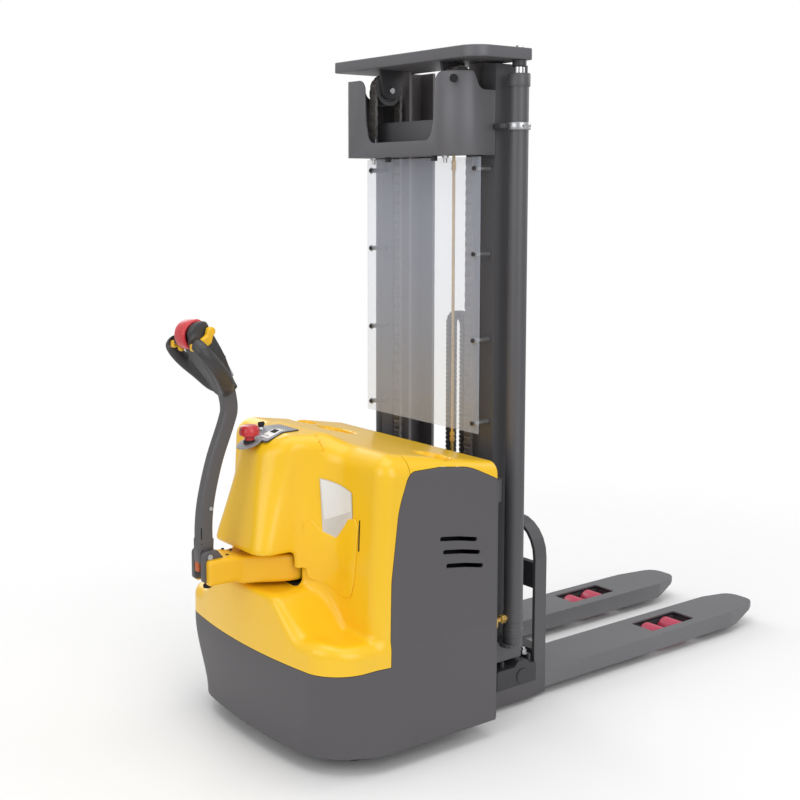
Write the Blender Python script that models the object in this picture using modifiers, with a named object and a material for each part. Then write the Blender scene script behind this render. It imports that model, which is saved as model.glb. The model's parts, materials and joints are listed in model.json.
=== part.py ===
"""Walkie stacker: an electric pedestrian pallet stacker with a two-stage mast.

Metres, +Z up, +Y towards the fork tips, X across. The model is laid out with Y = 0 at the
fork heels and X = 0 on the centre plane. At the end the root empty moves everything so that
the origin is at the middle of the whole object's footprint, on the floor.
"""
from math import cos, pi, radians, sin, tan

import bmesh
import bpy
from mathutils import Matrix, Vector

# ---------------------------------------------------------------- driving dimensions
GAP = 0.0003            # between pieces that touch
RUN = 0.0003            # radial running clearance on an axle
SLIDE = 0.0015          # clearance beside a sliding or turning face

# body
BODY_HALF = 0.424       # half the width over the side panels
BODY_REAR = -0.345
BODY_FRONT = -0.985
BODY_CORNER = 0.11
SKIRT_LOW = 0.055
SKIRT_TOP = 0.312
SHELF_TOP = 0.390
WALL = 0.005            # panel thickness
HOOD_FRONT = -0.795     # foot of the hood's front wall
HOOD_LEAN = 0.030       # how far that wall leans back to its top
HOOD_TOP = 0.925
HOOD_REAR_TOP = 0.852
SEAM_Y = -0.675         # joint between hood and battery lid
SEAM_GAP = 0.003
PANEL_GAP = 0.0008      # between the yellow and the dark panels
HOOD_ROUND = 0.045
SHELF_ROUND = 0.028
NOSE_HALF = 0.140
NOSE_FRONT = -1.000
NOSE_CORNER = 0.065
NOSE_TOP = 0.945
NOSE_FRONT_TOP = 0.892
NOSE_BREAK_Y = -0.860   # where the nose's top starts to slope down
PEDESTAL_HALF = 0.165
PEDESTAL_FRONT = -0.970
PEDESTAL_TOP = 0.500
LOUVRE_LENGTH = 0.143
LOUVRE_HEIGHT = 0.014
LOUVRE_MIDDLES = ((-0.494, 0.644), (-0.482, 0.603), (-0.470, 0.560))

# controls on the nose
STOP_STEM = 0.013
STOP_R = 0.031
STOP_Y = -0.948
KEY_R = 0.010
KEY_PLACE = (-0.045, -0.880)

# steering and drive
STEER_Y = -0.850
HEAD_LOW = 0.510
HEAD_HIGH = 0.598
HEAD_DISC = 0.122
HEAD_ARM_HALF = 0.055
HEAD_REACH = 0.272
SLOT_CLEAR = 0.006
SLOT_SIDE_Y = -0.866    # where the slot for the arm ends on the nose's sides
COLUMN_R = 0.040
DRIVE_R = 0.105
DRIVE_WIDTH = 0.070
MOTOR_R = 0.070
DECK_Z = 0.300          # plate that carries drive, casters and controls
DECK = 0.008
CASTER_X = 0.290
CASTER_Y = -0.800
CASTER_R = 0.075
CASTER_WIDTH = 0.045
CASTER_TRAIL = 0.030

# tiller
TILLER_PIVOT = (-1.106, 0.605)
TILLER_WIDE = 0.036
TILLER_DEEP = 0.046
ARM_LINE = ((-1.106, 0.625), (-1.104, 0.700), (-1.094, 0.775), (-1.067, 0.881),
            (-1.026, 0.985), (-1.016, 1.025), (-1.026, 1.088))
HEAD_TILT = radians(30.6)
GRIP_HALF = 0.046       # tiller head's half width
GRIP_LENGTH = 0.240

# mast
RAIL_OUT = 0.287
RAIL_FRONT = -0.243
RAIL_BACK = -0.113
RAIL_FLANGE = 0.060
RAIL_WALL = 0.012
RAIL_LOW = 0.160
RAIL_TOP = 2.040
INNER_OUT = RAIL_OUT - 0.065
INNER_FLANGE = 0.072
INNER_WALL = 0.010
INNER_LOW = 0.170
MAST_ROLLER_ZS = (0.260, 0.480)
PLATE_HALF = 0.361
PLATE_FRONT = -0.392
PLATE_BACK = -0.160
PLATE_LOW = RAIL_TOP + 0.008
PLATE = 0.035
CYL_Y = -0.195
CYL_R = 0.036
CYL_X = RAIL_OUT + CYL_R + 0.0055
CYL_WALL = 0.006
CYL_TOP = RAIL_TOP - 0.055
CYL_CAP = 0.023
CYL_FOOT = 0.240
ROD_R = 0.018
BAND_Z = RAIL_TOP - 0.189
BAND_WALL = 0.004
BAND_HEIGHT = 0.022
STAY_Z = (0.705, 0.775)
PULLEY_R = 0.045
PULLEY_X = 0.184
PULLEY_Y = RAIL_FRONT - 0.017 - PULLEY_R
PULLEY_Z = PLATE_LOW - 0.021 - PULLEY_R
PULLEY_WIDTH = 0.040
CHAIN = 0.010
CHAIN_WIDTH = 0.034
GUARD_Y = -0.3030
GUARD_LOW = 0.912
GUARD_TOP = RAIL_TOP - 0.280
GUARD = 0.005
STANDOFF_LOW = GUARD_LOW + 0.030
STANDOFF_SPAN = GUARD_TOP - 0.035 - STANDOFF_LOW
STANDOFF_ZS = tuple(STANDOFF_LOW + share * STANDOFF_SPAN for share in (0, 0.258 / 0.783, 0.523 / 0.783, 1))
BRACKET_FRONT = -0.395
BRACKET_LOW = RAIL_TOP - 0.275
BRACKET_SIDE_TOP = RAIL_TOP - 0.080
BRACKET_EAR_TOP = RAIL_TOP - 0.026
NOTCH_LOW = BRACKET_LOW + 0.046
TIE_TOP = BRACKET_LOW + 0.115
BRACKET_WALL = 0.006
BRACKET_CORNER = 0.090
FOOT_PLATE = 0.020
SHAFT_Y = -0.116
SHAFT_Z = 0.098
SHAFT_R = 0.025
BEARING_X = (0.234, 0.300)

# carriage, forks and legs
HOOP_OUT = 0.285
HOOP_TOP = 0.590
HOOP_DEEP = 0.050
HOOP_BAR = 0.012
HOOP_ROUND = 0.120
CARRIAGE_HALF = 0.143
CARRIAGE_TOP = 0.540
CARRIAGE_WALL = 0.015
CARRIAGE_ROLLER_ZS = (0.235, 0.495)
BEAM_Z = (0.300, 0.360)
UPPER_BEAM_Z = (0.370, 0.455)
FORK_IN = 0.105
FORK_OUT = 0.285
FORK_TOP = 0.085
FORK_LOW = 0.028
FORK_WALL = 0.006
FORK_LENGTH = 1.147
NOSE_CUT_Y = FORK_LENGTH - 0.142
TAPER_Y = FORK_LENGTH - 0.177
WINDOW = (0.148, 0.249, 0.568, 0.798)    # x and y limits of the fork's cut-out
ROLLER_R = 0.040
ROLLER_WIDTH = 0.080
ROLLER_YS = (0.632, 0.734)
BOGIE_Z = 0.052
LEG_IN = 0.125
LEG_OUT = 0.265
LEG_LOW = 0.030
LEG_TOP = 0.0695
LEG_END = 1.000

COLOURS = {
    "yellow": ((0.91, 0.58, 0.02, 1), 0.35, 0.0),
    "dark_grey": ((0.088, 0.084, 0.087, 1), 0.5, 0.2),
    "mast_grey": ((0.10, 0.098, 0.102, 1), 0.5, 0.3),
    "black": ((0.02, 0.02, 0.02, 1), 0.6, 0.0),
    "steel": ((0.6, 0.6, 0.6, 1), 0.3, 1.0),
    "red": ((0.6, 0.03, 0.03, 1), 0.4, 0.0),
    "polyurethane": ((0.55, 0.06, 0.12, 1), 0.45, 0.0),
    "brass": ((0.7, 0.5, 0.2, 1), 0.3, 1.0),
    "clear": ((0.8, 0.85, 0.88, 0.3), 0.1, 0.0),
    "grey_plastic": ((0.35, 0.36, 0.38, 1), 0.5, 0.0),
}

MANY = "MANIFOLD"       # solver for the panels, whose many near-flush faces stop the exact one

parts = bpy.data.collections.new("walkie_stacker")
cutters = bpy.data.collections.new("cutters")


# ---------------------------------------------------------------- general helpers
def clear_scene():
    for item in list(bpy.data.objects):
        bpy.data.objects.remove(item, do_unlink=True)
    for group in (parts, cutters):
        bpy.context.scene.collection.children.link(group)


def material(name):
    found = bpy.data.materials.get(name)
    if found:
        return found
    colour, roughness, metallic = COLOURS[name]
    made = bpy.data.materials.new(name)
    made.use_nodes = True
    shader = made.node_tree.nodes["Principled BSDF"]
    shader.inputs["Base Color"].default_value = colour
    shader.inputs["Roughness"].default_value = roughness
    shader.inputs["Metallic"].default_value = metallic
    return made


def weld(mesh):
    """Join doubled points and turn all faces outwards."""
    bm = bmesh.new()
    bm.from_mesh(mesh)
    bmesh.ops.remove_doubles(bm, verts=bm.verts, dist=0.00001)
    bmesh.ops.recalc_face_normals(bm, faces=bm.faces)
    bm.to_mesh(mesh)
    bm.free()


def rounded(corners, steps=3):
    """Points of a polygon whose (x, y, radius) corners are rounded by arcs."""
    points = []
    count = len(corners)
    for index, (x, y, radius) in enumerate(corners):
        here = Vector((x, y))
        if radius == 0:
            points.append(here)
            continue
        before = Vector(corners[index - 1][:2]) - here
        after = Vector(corners[(index + 1) % count][:2]) - here
        before.normalize()
        after.normalize()
        half = before.angle(after) / 2
        centre = here + (before + after).normalized() * (radius / sin(half))
        first = here + before * (radius / tan(half)) - centre
        last = here + after * (radius / tan(half)) - centre
        sweep = first.angle(last)
        for step in range(steps + 1):
            share = step / steps
            points.append(centre + (first * sin((1 - share) * sweep) + last * sin(share * sweep)) / sin(sweep))
    return points


PLANES = {
    "XY": Matrix.Identity(3),
    "YZ": Matrix(((0, 0, 1), (1, 0, 0), (0, 1, 0))),
    "XZ": Matrix(((1, 0, 0), (0, 0, -1), (0, 1, 0))),
}


def to_mesh(item, name):
    """Replace a curve object by the closed mesh that it shows."""
    bpy.context.view_layer.update()
    graph = bpy.context.evaluated_depsgraph_get()
    mesh = bpy.data.meshes.new_from_object(item.evaluated_get(graph))
    weld(mesh)
    place = item.matrix_world.copy()
    bpy.data.objects.remove(item, do_unlink=True)
    made = bpy.data.objects.new(name, mesh)
    made.matrix_world = place
    parts.objects.link(made)
    return made


def prism(name, corners, low, high, plane="XY", steps=3):
    """A flat outline with thickness: low to high along the axis that the plane leaves out."""
    curve = bpy.data.curves.new(name, "CURVE")
    curve.dimensions = "2D"
    curve.fill_mode = "BOTH"
    curve.extrude = (high - low) / 2
    points = rounded(corners, steps)
    spline = curve.splines.new("POLY")
    spline.points.add(len(points) - 1)
    for point, (x, y) in zip(spline.points, points):
        point.co = (x, y, 0, 1)
    spline.use_cyclic_u = True
    item = bpy.data.objects.new(name, curve)
    parts.objects.link(item)
    turn = PLANES[plane]
    middle = (low + high) / 2
    if plane == "XZ":
        middle = -middle
    item.matrix_world = Matrix.Translation(turn @ Vector((0, 0, middle))) @ turn.to_4x4()
    return to_mesh(item, name)


def box(name, low, high):
    """A block from its lowest to its highest corner."""
    low, high = Vector(low), Vector(high)
    mesh = bpy.data.meshes.new(name)
    bm = bmesh.new()
    bmesh.ops.create_cube(bm, size=1)
    bmesh.ops.scale(bm, vec=high - low, verts=bm.verts)
    bm.to_mesh(mesh)
    bm.free()
    item = bpy.data.objects.new(name, mesh)
    parts.objects.link(item)
    item.location = (low + high) / 2
    return item


def cylinder(name, radius, centre, length, axis="Z", sides=20, far_radius=None):
    """A round bar about an axis; its middle is at centre."""
    mesh = bpy.data.meshes.new(name)
    bm = bmesh.new()
    bmesh.ops.create_cone(bm, cap_ends=True, segments=sides, radius1=radius,
                          radius2=radius if far_radius is None else far_radius, depth=length)
    bm.to_mesh(mesh)
    bm.free()
    item = bpy.data.objects.new(name, mesh)
    parts.objects.link(item)
    turn = {"X": Matrix.Rotation(pi / 2, 4, "Y"), "Y": Matrix.Rotation(-pi / 2, 4, "X"),
            "Z": Matrix.Identity(4)}[axis]
    item.matrix_world = Matrix.Translation(centre) @ turn
    return item


def turned(name, profile, centre, axis="Z", sides=24):
    """A closed (radius, height) profile, listed down its outer side, turned about an axis."""
    mesh = bpy.data.meshes.new(name)
    points = [(radius, 0, height) for radius, height in profile]
    count = len(points)
    mesh.from_pydata(points, [(i, (i + 1) % count) for i in range(count)], [])
    item = bpy.data.objects.new(name, mesh)
    parts.objects.link(item)
    screw = item.modifiers.new("turn", "SCREW")
    screw.steps = screw.render_steps = sides
    screw.merge_threshold = 0.00001
    screw.use_merge_vertices = True
    turn = {"X": Matrix.Rotation(pi / 2, 4, "Y"), "Y": Matrix.Rotation(-pi / 2, 4, "X"),
            "Z": Matrix.Identity(4)}[axis]
    item.matrix_world = Matrix.Translation(centre) @ turn
    return to_mesh(item, name)


def ring(name, outer, inner, centre, width, axis="X", sides=24):
    """A wheel or collar: a tube with square edges."""
    half = width / 2
    profile = ((inner, half), (outer, half), (outer, -half), (inner, -half))
    return turned(name, profile, centre, axis, sides)


def tube(name, points, radius, closed=False, resolution=2):
    """A round bar along points."""
    curve = bpy.data.curves.new(name, "CURVE")
    curve.dimensions = "3D"
    curve.bevel_depth = radius
    curve.bevel_resolution = resolution
    curve.use_fill_caps = True
    spline = curve.splines.new("POLY")
    spline.points.add(len(points) - 1)
    for point, place in zip(spline.points, points):
        point.co = (*place, 1)
    spline.use_cyclic_u = closed
    item = bpy.data.objects.new(name, curve)
    parts.objects.link(item)
    return to_mesh(item, name)


def combine(base, tool, operation, solver):
    """Apply one Boolean to base and remove the tool."""
    step = base.modifiers.new(operation, "BOOLEAN")
    step.operation = operation
    step.object = tool
    step.solver = solver
    bpy.context.view_layer.update()
    graph = bpy.context.evaluated_depsgraph_get()
    mesh = bpy.data.meshes.new_from_object(base.evaluated_get(graph))
    base.modifiers.remove(step)
    base.data = mesh
    bpy.data.objects.remove(tool, do_unlink=True)
    return base


def union(base, *tools, solver="EXACT"):
    for tool in tools:
        combine(base, tool, "UNION", solver)
    return base


def cut(base, *tools, solver="EXACT"):
    for tool in tools:
        combine(base, tool, "DIFFERENCE", solver)
    return base


def keep_inside(base, tool, solver="EXACT"):
    return combine(base, tool, "INTERSECT", solver)


def soften(item, width, segments=2, angle=40):
    """Round an object's sharp edges and apply the result."""
    step = item.modifiers.new("soften", "BEVEL")
    step.width = width
    step.segments = segments
    step.limit_method = "ANGLE"
    step.angle_limit = radians(angle)
    bpy.context.view_layer.update()
    graph = bpy.context.evaluated_depsgraph_get()
    mesh = bpy.data.meshes.new_from_object(item.evaluated_get(graph))
    item.modifiers.remove(step)
    item.data = mesh
    return item


def mirrored(item, name):
    """The same piece on the other side of the centre plane."""
    bpy.context.view_layer.update()
    mesh = item.data.copy()
    mesh.transform(item.matrix_world)
    mesh.transform(Matrix.Scale(-1, 4, (1, 0, 0)))
    mesh.flip_normals()
    made = bpy.data.objects.new(name, mesh)
    parts.objects.link(made)
    return made


def empty(name, place, parent=None, turn=None):
    item = bpy.data.objects.new(name, None)
    item.empty_display_size = 0.05
    parts.objects.link(item)
    item.location = place
    if turn is not None:
        item.rotation_euler = turn
    if parent:
        bpy.context.view_layer.update()
        item.parent = parent
        item.matrix_parent_inverse = parent.matrix_world.inverted()
    return item


def finish(item, colour, parent, smooth=35):
    """Give a finished piece its material and its parent, and shade its round faces smooth."""
    item.data.materials.clear()
    item.data.materials.append(material(colour))
    for face in item.data.polygons:
        face.material_index = 0
    item.data.shade_smooth()
    item.data.set_sharp_from_angle(angle=radians(smooth))
    bpy.context.view_layer.update()
    item.parent = parent
    item.matrix_parent_inverse = parent.matrix_world.inverted()
    return item


def both_sides(name, make, colour, parents):
    """Make a piece for +X with make(node name) and its mirror image, each on its own parent."""
    right = make(name + "_right")
    left = mirrored(right, name + "_left")
    finish(right, colour, parents[0])
    finish(left, colour, parents[1])


# ---------------------------------------------------------------- body panels
def body_solid(inset):
    """The whole outer form of the body, or the room inside panels of thickness inset."""
    low = SKIRT_LOW if inset == 0 else SKIRT_LOW - 0.05
    rear = BODY_REAR if inset == 0 else BODY_REAR + 0.05
    half = BODY_HALF - inset
    front = BODY_FRONT + inset
    tray = prism("tray", ((-half, rear, 0), (half, rear, 0), (half, front + 0.045, BODY_CORNER),
                          (0.20, front, 0.30), (-0.20, front, 0.30),
                          (-half, front + 0.045, BODY_CORNER)), low - 0.10, SHELF_TOP - inset, steps=5)
    soften(tray, SHELF_ROUND, 2)
    foot = HOOD_FRONT + inset
    top = HOOD_TOP - inset
    slope = (HOOD_TOP - HOOD_REAR_TOP) / (BODY_REAR - SEAM_Y)
    beyond = 0.15
    rear_top = HOOD_REAR_TOP - inset - slope * beyond
    hood = prism("hood", ((BODY_REAR + beyond, low - 0.10, 0), (BODY_REAR + beyond, rear_top, 0),
                          (SEAM_Y, top - 0.004, 0), (foot + HOOD_LEAN, top, 0), (foot, SHELF_TOP, 0),
                          (foot, low - 0.10, 0)), -half, half, "YZ")
    soften(hood, HOOD_ROUND, 2, 60)
    nose_half = NOSE_HALF - inset
    nose = prism("nose", ((-nose_half, -0.70, 0), (nose_half, -0.70, 0),
                          (nose_half, NOSE_FRONT + inset, NOSE_CORNER),
                          (-nose_half, NOSE_FRONT + inset, NOSE_CORNER)), PEDESTAL_TOP - 0.06, 1.10, steps=4)
    keep_inside(nose, prism("nose_side", ((-0.65, 0.30, 0), (-0.65, NOSE_TOP - inset - 0.01, 0),
                                          (-0.72, NOSE_TOP - inset, 0),
                                          (NOSE_BREAK_Y, NOSE_TOP - inset, 0),
                                          (NOSE_FRONT - 0.02, NOSE_FRONT_TOP - inset, 0),
                                          (NOSE_FRONT - 0.02, 0.30, 0)), -0.3, 0.3, "YZ"))
    step = PEDESTAL_HALF - inset
    pedestal = prism("pedestal", ((-step, HOOD_FRONT + 0.05, 0), (step, HOOD_FRONT + 0.05, 0),
                                  (step, PEDESTAL_FRONT + inset, 0.08),
                                  (-step, PEDESTAL_FRONT + inset, 0.08)),
                     SHELF_TOP - 0.06 - inset, PEDESTAL_TOP - inset, steps=4)
    under = NOSE_FRONT + 0.045
    cut(nose, prism("chin", ((NOSE_FRONT - 0.05, 0.30, 0), (under, 0.30, 0),
                             (under, PEDESTAL_TOP + 0.05, 0), (NOSE_FRONT - 0.05, PEDESTAL_TOP + 0.05, 0)),
                    -0.3, 0.3, "YZ"))
    solid = union(tray, hood, nose, pedestal, solver=MANY)
    ends = box("ends", (-1, -2, low), (1, rear, 2))
    keep_inside(solid, ends, MANY)
    slot_low = PEDESTAL_TOP - inset
    slot_high = HEAD_HIGH + SLOT_CLEAR + inset + 0.002
    disc = HEAD_DISC + SLOT_CLEAR + inset
    cut(solid, cylinder("slot_disc", disc, (0, STEER_Y, (slot_low + slot_high) / 2),
                        slot_high - slot_low, sides=28), solver=MANY)
    cut(solid, box("slot_front", (-0.40, -1.3, slot_low), (0.40, SLOT_SIDE_Y + inset, slot_high)),
        solver=MANY)
    return solid


def dark_side(name, grow):
    """The room of the dark panels, below the line where the yellow ones begin, grown all round."""
    side = prism(name, ((-0.20, -0.20, 0), (-0.20, 0.72 + grow, 0), (-0.345, 0.806 + grow, 0.05),
                        (-0.45, 0.853 + grow, 0.10), (-0.58, 0.866 + grow, 0.05),
                        (-0.680 - grow, 0.866 + grow, 0.035), (-0.735 - grow, 0.620, 0.20),
                        (-0.7445 - grow, SKIRT_TOP + grow, 0), (-1.20, SKIRT_TOP + grow, 0),
                        (-1.20, -0.20, 0)), -0.6, 0.6, "YZ")
    middle = box("middle", (-0.36, -1.3, SKIRT_TOP + grow), (0.36, 0, 1))
    return cut(side, middle, solver=MANY)


def louvre(name, middle_y, middle_z):
    half, tall = LOUVRE_LENGTH / 2, LOUVRE_HEIGHT / 2
    end = tall * 0.98
    return prism(name, ((middle_y - half, middle_z - tall, end), (middle_y + half, middle_z - tall, end),
                        (middle_y + half, middle_z + tall, end), (middle_y - half, middle_z + tall, end)),
                 -BODY_HALF - 0.02, BODY_HALF + 0.02, "YZ")


def make_panels(root, lid_pivot):
    shell = cut(body_solid(0), body_solid(WALL), solver=MANY)
    skirt = bpy.data.objects.new("side_skirt", shell.data.copy())
    parts.objects.link(skirt)
    skirt.matrix_world = shell.matrix_world.copy()
    keep_inside(skirt, dark_side("dark", 0), MANY)
    for index, (y, z) in enumerate(LOUVRE_MIDDLES):
        cut(skirt, louvre(f"louvre_{index}", y, z), solver=MANY)
    finish(skirt, "dark_grey", root)

    cut(shell, dark_side("seam_line", PANEL_GAP), solver=MANY)
    lid = bpy.data.objects.new("battery_lid", shell.data.copy())
    parts.objects.link(lid)
    lid.matrix_world = shell.matrix_world.copy()
    keep_inside(lid, box("lid_room", (-1, SEAM_Y + SEAM_GAP / 2, 0.5), (1, 0, 2)), MANY)
    finish(lid, "yellow", lid_pivot)

    shell.name = "front_cowl"
    keep_inside(shell, box("cowl_room", (-1, -2, 0), (1, SEAM_Y - SEAM_GAP / 2, 2)), MANY)
    cut(shell, cylinder("column_hole", COLUMN_R + 0.006, (0, STEER_Y, PEDESTAL_TOP), 0.08),
        cylinder("stop_hole", STOP_STEM + 0.001, stop_point(0), 0.10),
        cylinder("key_hole", KEY_R + 0.001, key_point(0), 0.10), solver=MANY)
    finish(shell, "yellow", root)

    bulkhead = box("rear_bulkhead", (-BODY_HALF, BODY_REAR + GAP, SKIRT_LOW + 0.005),
                   (BODY_HALF, BODY_REAR + GAP + 0.004, 0.790))
    finish(bulkhead, "dark_grey", root)


# ---------------------------------------------------------------- dashboard
def nose_top(y):
    """Height of the nose's sloping top at a distance y."""
    if y > NOSE_BREAK_Y:
        return NOSE_TOP
    share = (NOSE_BREAK_Y - y) / (NOSE_BREAK_Y - (NOSE_FRONT - 0.02))
    return NOSE_TOP + (NOSE_FRONT_TOP - NOSE_TOP) * share


def stop_point(height):
    return Vector((0, STOP_Y, nose_top(STOP_Y) + height))


def key_point(height):
    return Vector((KEY_PLACE[0], KEY_PLACE[1], nose_top(KEY_PLACE[1]) + height))


def make_dash(root, stop_pivot, key_pivot):
    rise, low = 0.006, GAP * 1.2
    y0, y1 = -0.968, -0.868
    panel = prism("dash_panel", ((y0, nose_top(y0) + low, 0), (y1, nose_top(y1) + low, 0),
                                 (y1, nose_top(y1) + rise, 0), (y0, nose_top(y0) + rise, 0)),
                  -0.075, 0.085, "YZ")
    cut(panel, cylinder("stop_room", STOP_STEM + 0.001, stop_point(0), 0.08))
    cut(panel, cylinder("key_room", KEY_R + 0.001, key_point(0), 0.08))
    y0, y1 = -0.905, -0.874
    gauge = prism("gauge", ((y0, nose_top(y0) + 2 * low, 0), (y1, nose_top(y1) + 2 * low, 0),
                            (y1, nose_top(y1) + rise + 0.004, 0), (y0, nose_top(y0) + rise + 0.004, 0)),
                  0.018, 0.068, "YZ")
    union(panel, gauge)
    finish(panel, "grey_plastic", root)

    base = stop_point(rise + 0.012)
    stem = cylinder("emergency_stop", STOP_STEM, stop_point(0.006), 0.040)
    head = turned("stop_head", ((0, 0.036), (0.014, 0.035), (0.026, 0.030), (STOP_R, 0.021),
                                (0.029, 0.012), (0.016, 0.004), (0.015, 0.0), (0, 0.0)), base, sides=20)
    finish(union(stem, head), "red", stop_pivot)

    key = cylinder("key_switch", KEY_R, key_point(0.003), 0.020, sides=16)
    tab = box("key_tab", key_point(0.010) - Vector((0.003, 0.014, 0)),
              key_point(0.034) + Vector((0.003, 0.014, 0)))
    finish(union(key, tab), "black", key_pivot)


# ---------------------------------------------------------------- chassis
def make_chassis(root):
    inner = BODY_HALF - WALL - GAP
    rear = BODY_REAR - GAP
    frame = box("chassis_frame", (-inner, -0.690, 0.100), (inner, rear, 0.106))
    deck = prism("deck", ((-inner, -0.690, 0), (inner, -0.690, 0), (inner, -0.925, 0.10),
                          (0.20, -0.968, 0), (-0.20, -0.968, 0), (-inner, -0.925, 0.10)),
                 DECK_Z, DECK_Z + DECK)
    web = box("web", (-inner, -0.690, 0.100), (inner, -0.684, DECK_Z + DECK))
    union(frame, deck, web)
    for side in (-1, 1):
        post = cylinder("caster_post", 0.034, (side * CASTER_X, CASTER_Y, (0.176 + DECK_Z + 0.002) / 2),
                        DECK_Z + 0.002 - 0.176, sides=16)
        union(frame, post)
    cut(frame, cylinder("column_room", 0.060, (0, STEER_Y, DECK_Z), 0.05, sides=24))
    finish(frame, "dark_grey", root)

    battery = box("battery", (-0.320, -0.600, 0.106 + GAP), (0.320, -0.360, 0.680))
    soften(battery, 0.008, 1)
    for side in (-1, 1):
        union(battery, cylinder("terminal", 0.010, (side * 0.25, -0.48, 0.69), 0.04, sides=10))
    for cell in range(6):
        union(battery, cylinder("vent_cap", 0.014, (-0.175 + 0.07 * cell, -0.48, 0.685), 0.02, sides=10))
    finish(battery, "black", root)

    pump = box("hydraulic_unit", (-0.360, -0.770, DECK_Z + DECK + GAP), (-0.160, -0.690, 0.520))
    union(pump, cylinder("pump_motor", 0.045, (-0.260, -0.730, 0.57), 0.12, sides=16))
    finish(pump, "steel", root)
    controller = box("motor_controller", (0.150, -0.770, DECK_Z + DECK + GAP), (0.360, -0.700, 0.500))
    for fin in range(5):
        union(controller, box("fin", (0.170 + 0.04 * fin, -0.702, 0.33), (0.178 + 0.04 * fin, -0.690, 0.48)))
    finish(controller, "black", root)

    both_sides("leg", leg, "dark_grey", (root, root))
    both_sides("mast_bearing", mast_bearing, "mast_grey", (root, root))


def leg(name):
    """Straddle leg with its rear block, and the bay that holds the tandem rollers."""
    bar = prism(name, ((LEG_IN, -0.300, 0), (LEG_OUT, -0.300, 0), (LEG_OUT, LEG_END, 0.05),
                       (LEG_IN, LEG_END, 0.05)), LEG_LOW, LEG_TOP)
    block = box("leg_block", (0.212, BODY_REAR + 0.006, 0.018), (0.300, -0.054, LEG_TOP))
    union(bar, block)
    bay = (WINDOW[0] - 0.004, WINDOW[1] + 0.004, WINDOW[2] - 0.014, WINDOW[3] + 0.012)
    cut(bar, box("roller_bay", (bay[0], bay[2], -0.1), (bay[1], bay[3], 0.2)))
    cut(bar, cylinder("bogie_pin_room", 0.0095 + RUN, ((LEG_IN + LEG_OUT) / 2, sum(ROLLER_YS) / 2, BOGIE_Z),
                      0.3, "X", 12))
    return bar


def mast_bearing(name):
    """Split bearing with its cap and two bolts."""
    low = LEG_TOP + GAP
    x0, x1 = BEARING_X
    block = prism(name, ((-0.225, low, 0), (-0.056, low, 0), (-0.056, 0.130, 0.004), (-0.082, 0.134, 0.01),
                         (-0.095, 0.150, 0.02), (-0.135, 0.150, 0.02), (-0.150, 0.134, 0.01),
                         (-0.225, 0.134, 0.006)), x0, x1, "YZ")
    for y in (-0.188, -0.072):
        union(block, cylinder("bolt", 0.008, ((x0 + x1) / 2 + 0.012, y, 0.140), 0.034, sides=6))
    cut(block, cylinder("shaft_room", SHAFT_R + RUN, ((x0 + x1) / 2, SHAFT_Y, SHAFT_Z), 0.2, "X", 20))
    return block


# ---------------------------------------------------------------- drive and casters
def make_drive(steer, wheel):
    top = DECK_Z - GAP
    unit = cylinder("drive_unit", 0.090, (0, STEER_Y, top - 0.012), 0.024, sides=24)
    gear = prism("gear_case", ((STEER_Y - 0.05, 0.105, 0.049), (STEER_Y, 0.045, 0.05),
                               (STEER_Y + 0.05, 0.105, 0.049), (STEER_Y + 0.06, top - 0.01, 0),
                               (STEER_Y - 0.06, top - 0.01, 0)),
                 DRIVE_WIDTH / 2 + 0.004, DRIVE_WIDTH / 2 + 0.044, "YZ")
    motor = cylinder("motor", MOTOR_R, (0, STEER_Y, (DECK_Z + DECK + GAP + 0.480) / 2),
                     0.480 - DECK_Z - DECK - GAP, sides=20)
    column = cylinder("column", COLUMN_R, (0, STEER_Y, (0.45 + HEAD_LOW - GAP) / 2), HEAD_LOW - GAP - 0.45)
    neck_low = cylinder("neck_low", 0.058, (0, STEER_Y, 0.29), 0.06)
    axle = cylinder("stub", 0.020, (0.010, STEER_Y, DRIVE_R), 0.090, "X", 16)
    union(unit, gear, neck_low, motor, column, axle)
    finish(unit, "mast_grey", steer)
    half = DRIVE_WIDTH / 2
    tyre = turned("drive_wheel", ((0.020 + RUN, half), (DRIVE_R - 0.005, half), (DRIVE_R, half - 0.005),
                                  (DRIVE_R, 0.005 - half), (DRIVE_R - 0.005, -half), (0.020 + RUN, -half)),
                  (0, STEER_Y, DRIVE_R), "X", 28)
    finish(tyre, "polyurethane", wheel)

    head = prism("steering_head", ((-HEAD_ARM_HALF, STEER_Y, 0), (HEAD_ARM_HALF, STEER_Y, 0),
                                   (HEAD_ARM_HALF, STEER_Y - HEAD_REACH, 0.025),
                                   (-HEAD_ARM_HALF, STEER_Y - HEAD_REACH, 0.025)), HEAD_LOW, HEAD_HIGH)
    disc = cylinder("head_disc", HEAD_DISC, (0, STEER_Y, (HEAD_LOW + HEAD_HIGH) / 2),
                    HEAD_HIGH - HEAD_LOW, sides=24)
    union(head, disc)
    soften(head, 0.008, 1, 50)
    pivot_y, pivot_z = TILLER_PIVOT
    room = TILLER_WIDE / 2 + 0.008
    cut(head, box("tiller_room", (-room, STEER_Y - HEAD_REACH - 0.1, HEAD_LOW - 0.05),
                  (room, pivot_y + 0.040, HEAD_HIGH + 0.05)))
    ear_half = TILLER_WIDE / 2 + 0.001
    for side in (-1, 1):
        x0, x1 = sorted((side * ear_half, side * (room + 0.010)))
        ear = prism("ear", ((pivot_y - 0.022, HEAD_LOW + 0.02, 0.01), (pivot_y + 0.030, HEAD_LOW + 0.02, 0),
                            (pivot_y + 0.030, pivot_z + 0.018, 0.01), (pivot_y - 0.022, pivot_z + 0.018, 0.02)),
                    x0, x1, "YZ")
        union(head, ear)
    pin = cylinder("tiller_pin", 0.008, (0, pivot_y, pivot_z), 2 * (room + 0.006), "X", 12)
    union(head, pin)
    finish(head, "yellow", steer)


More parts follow.
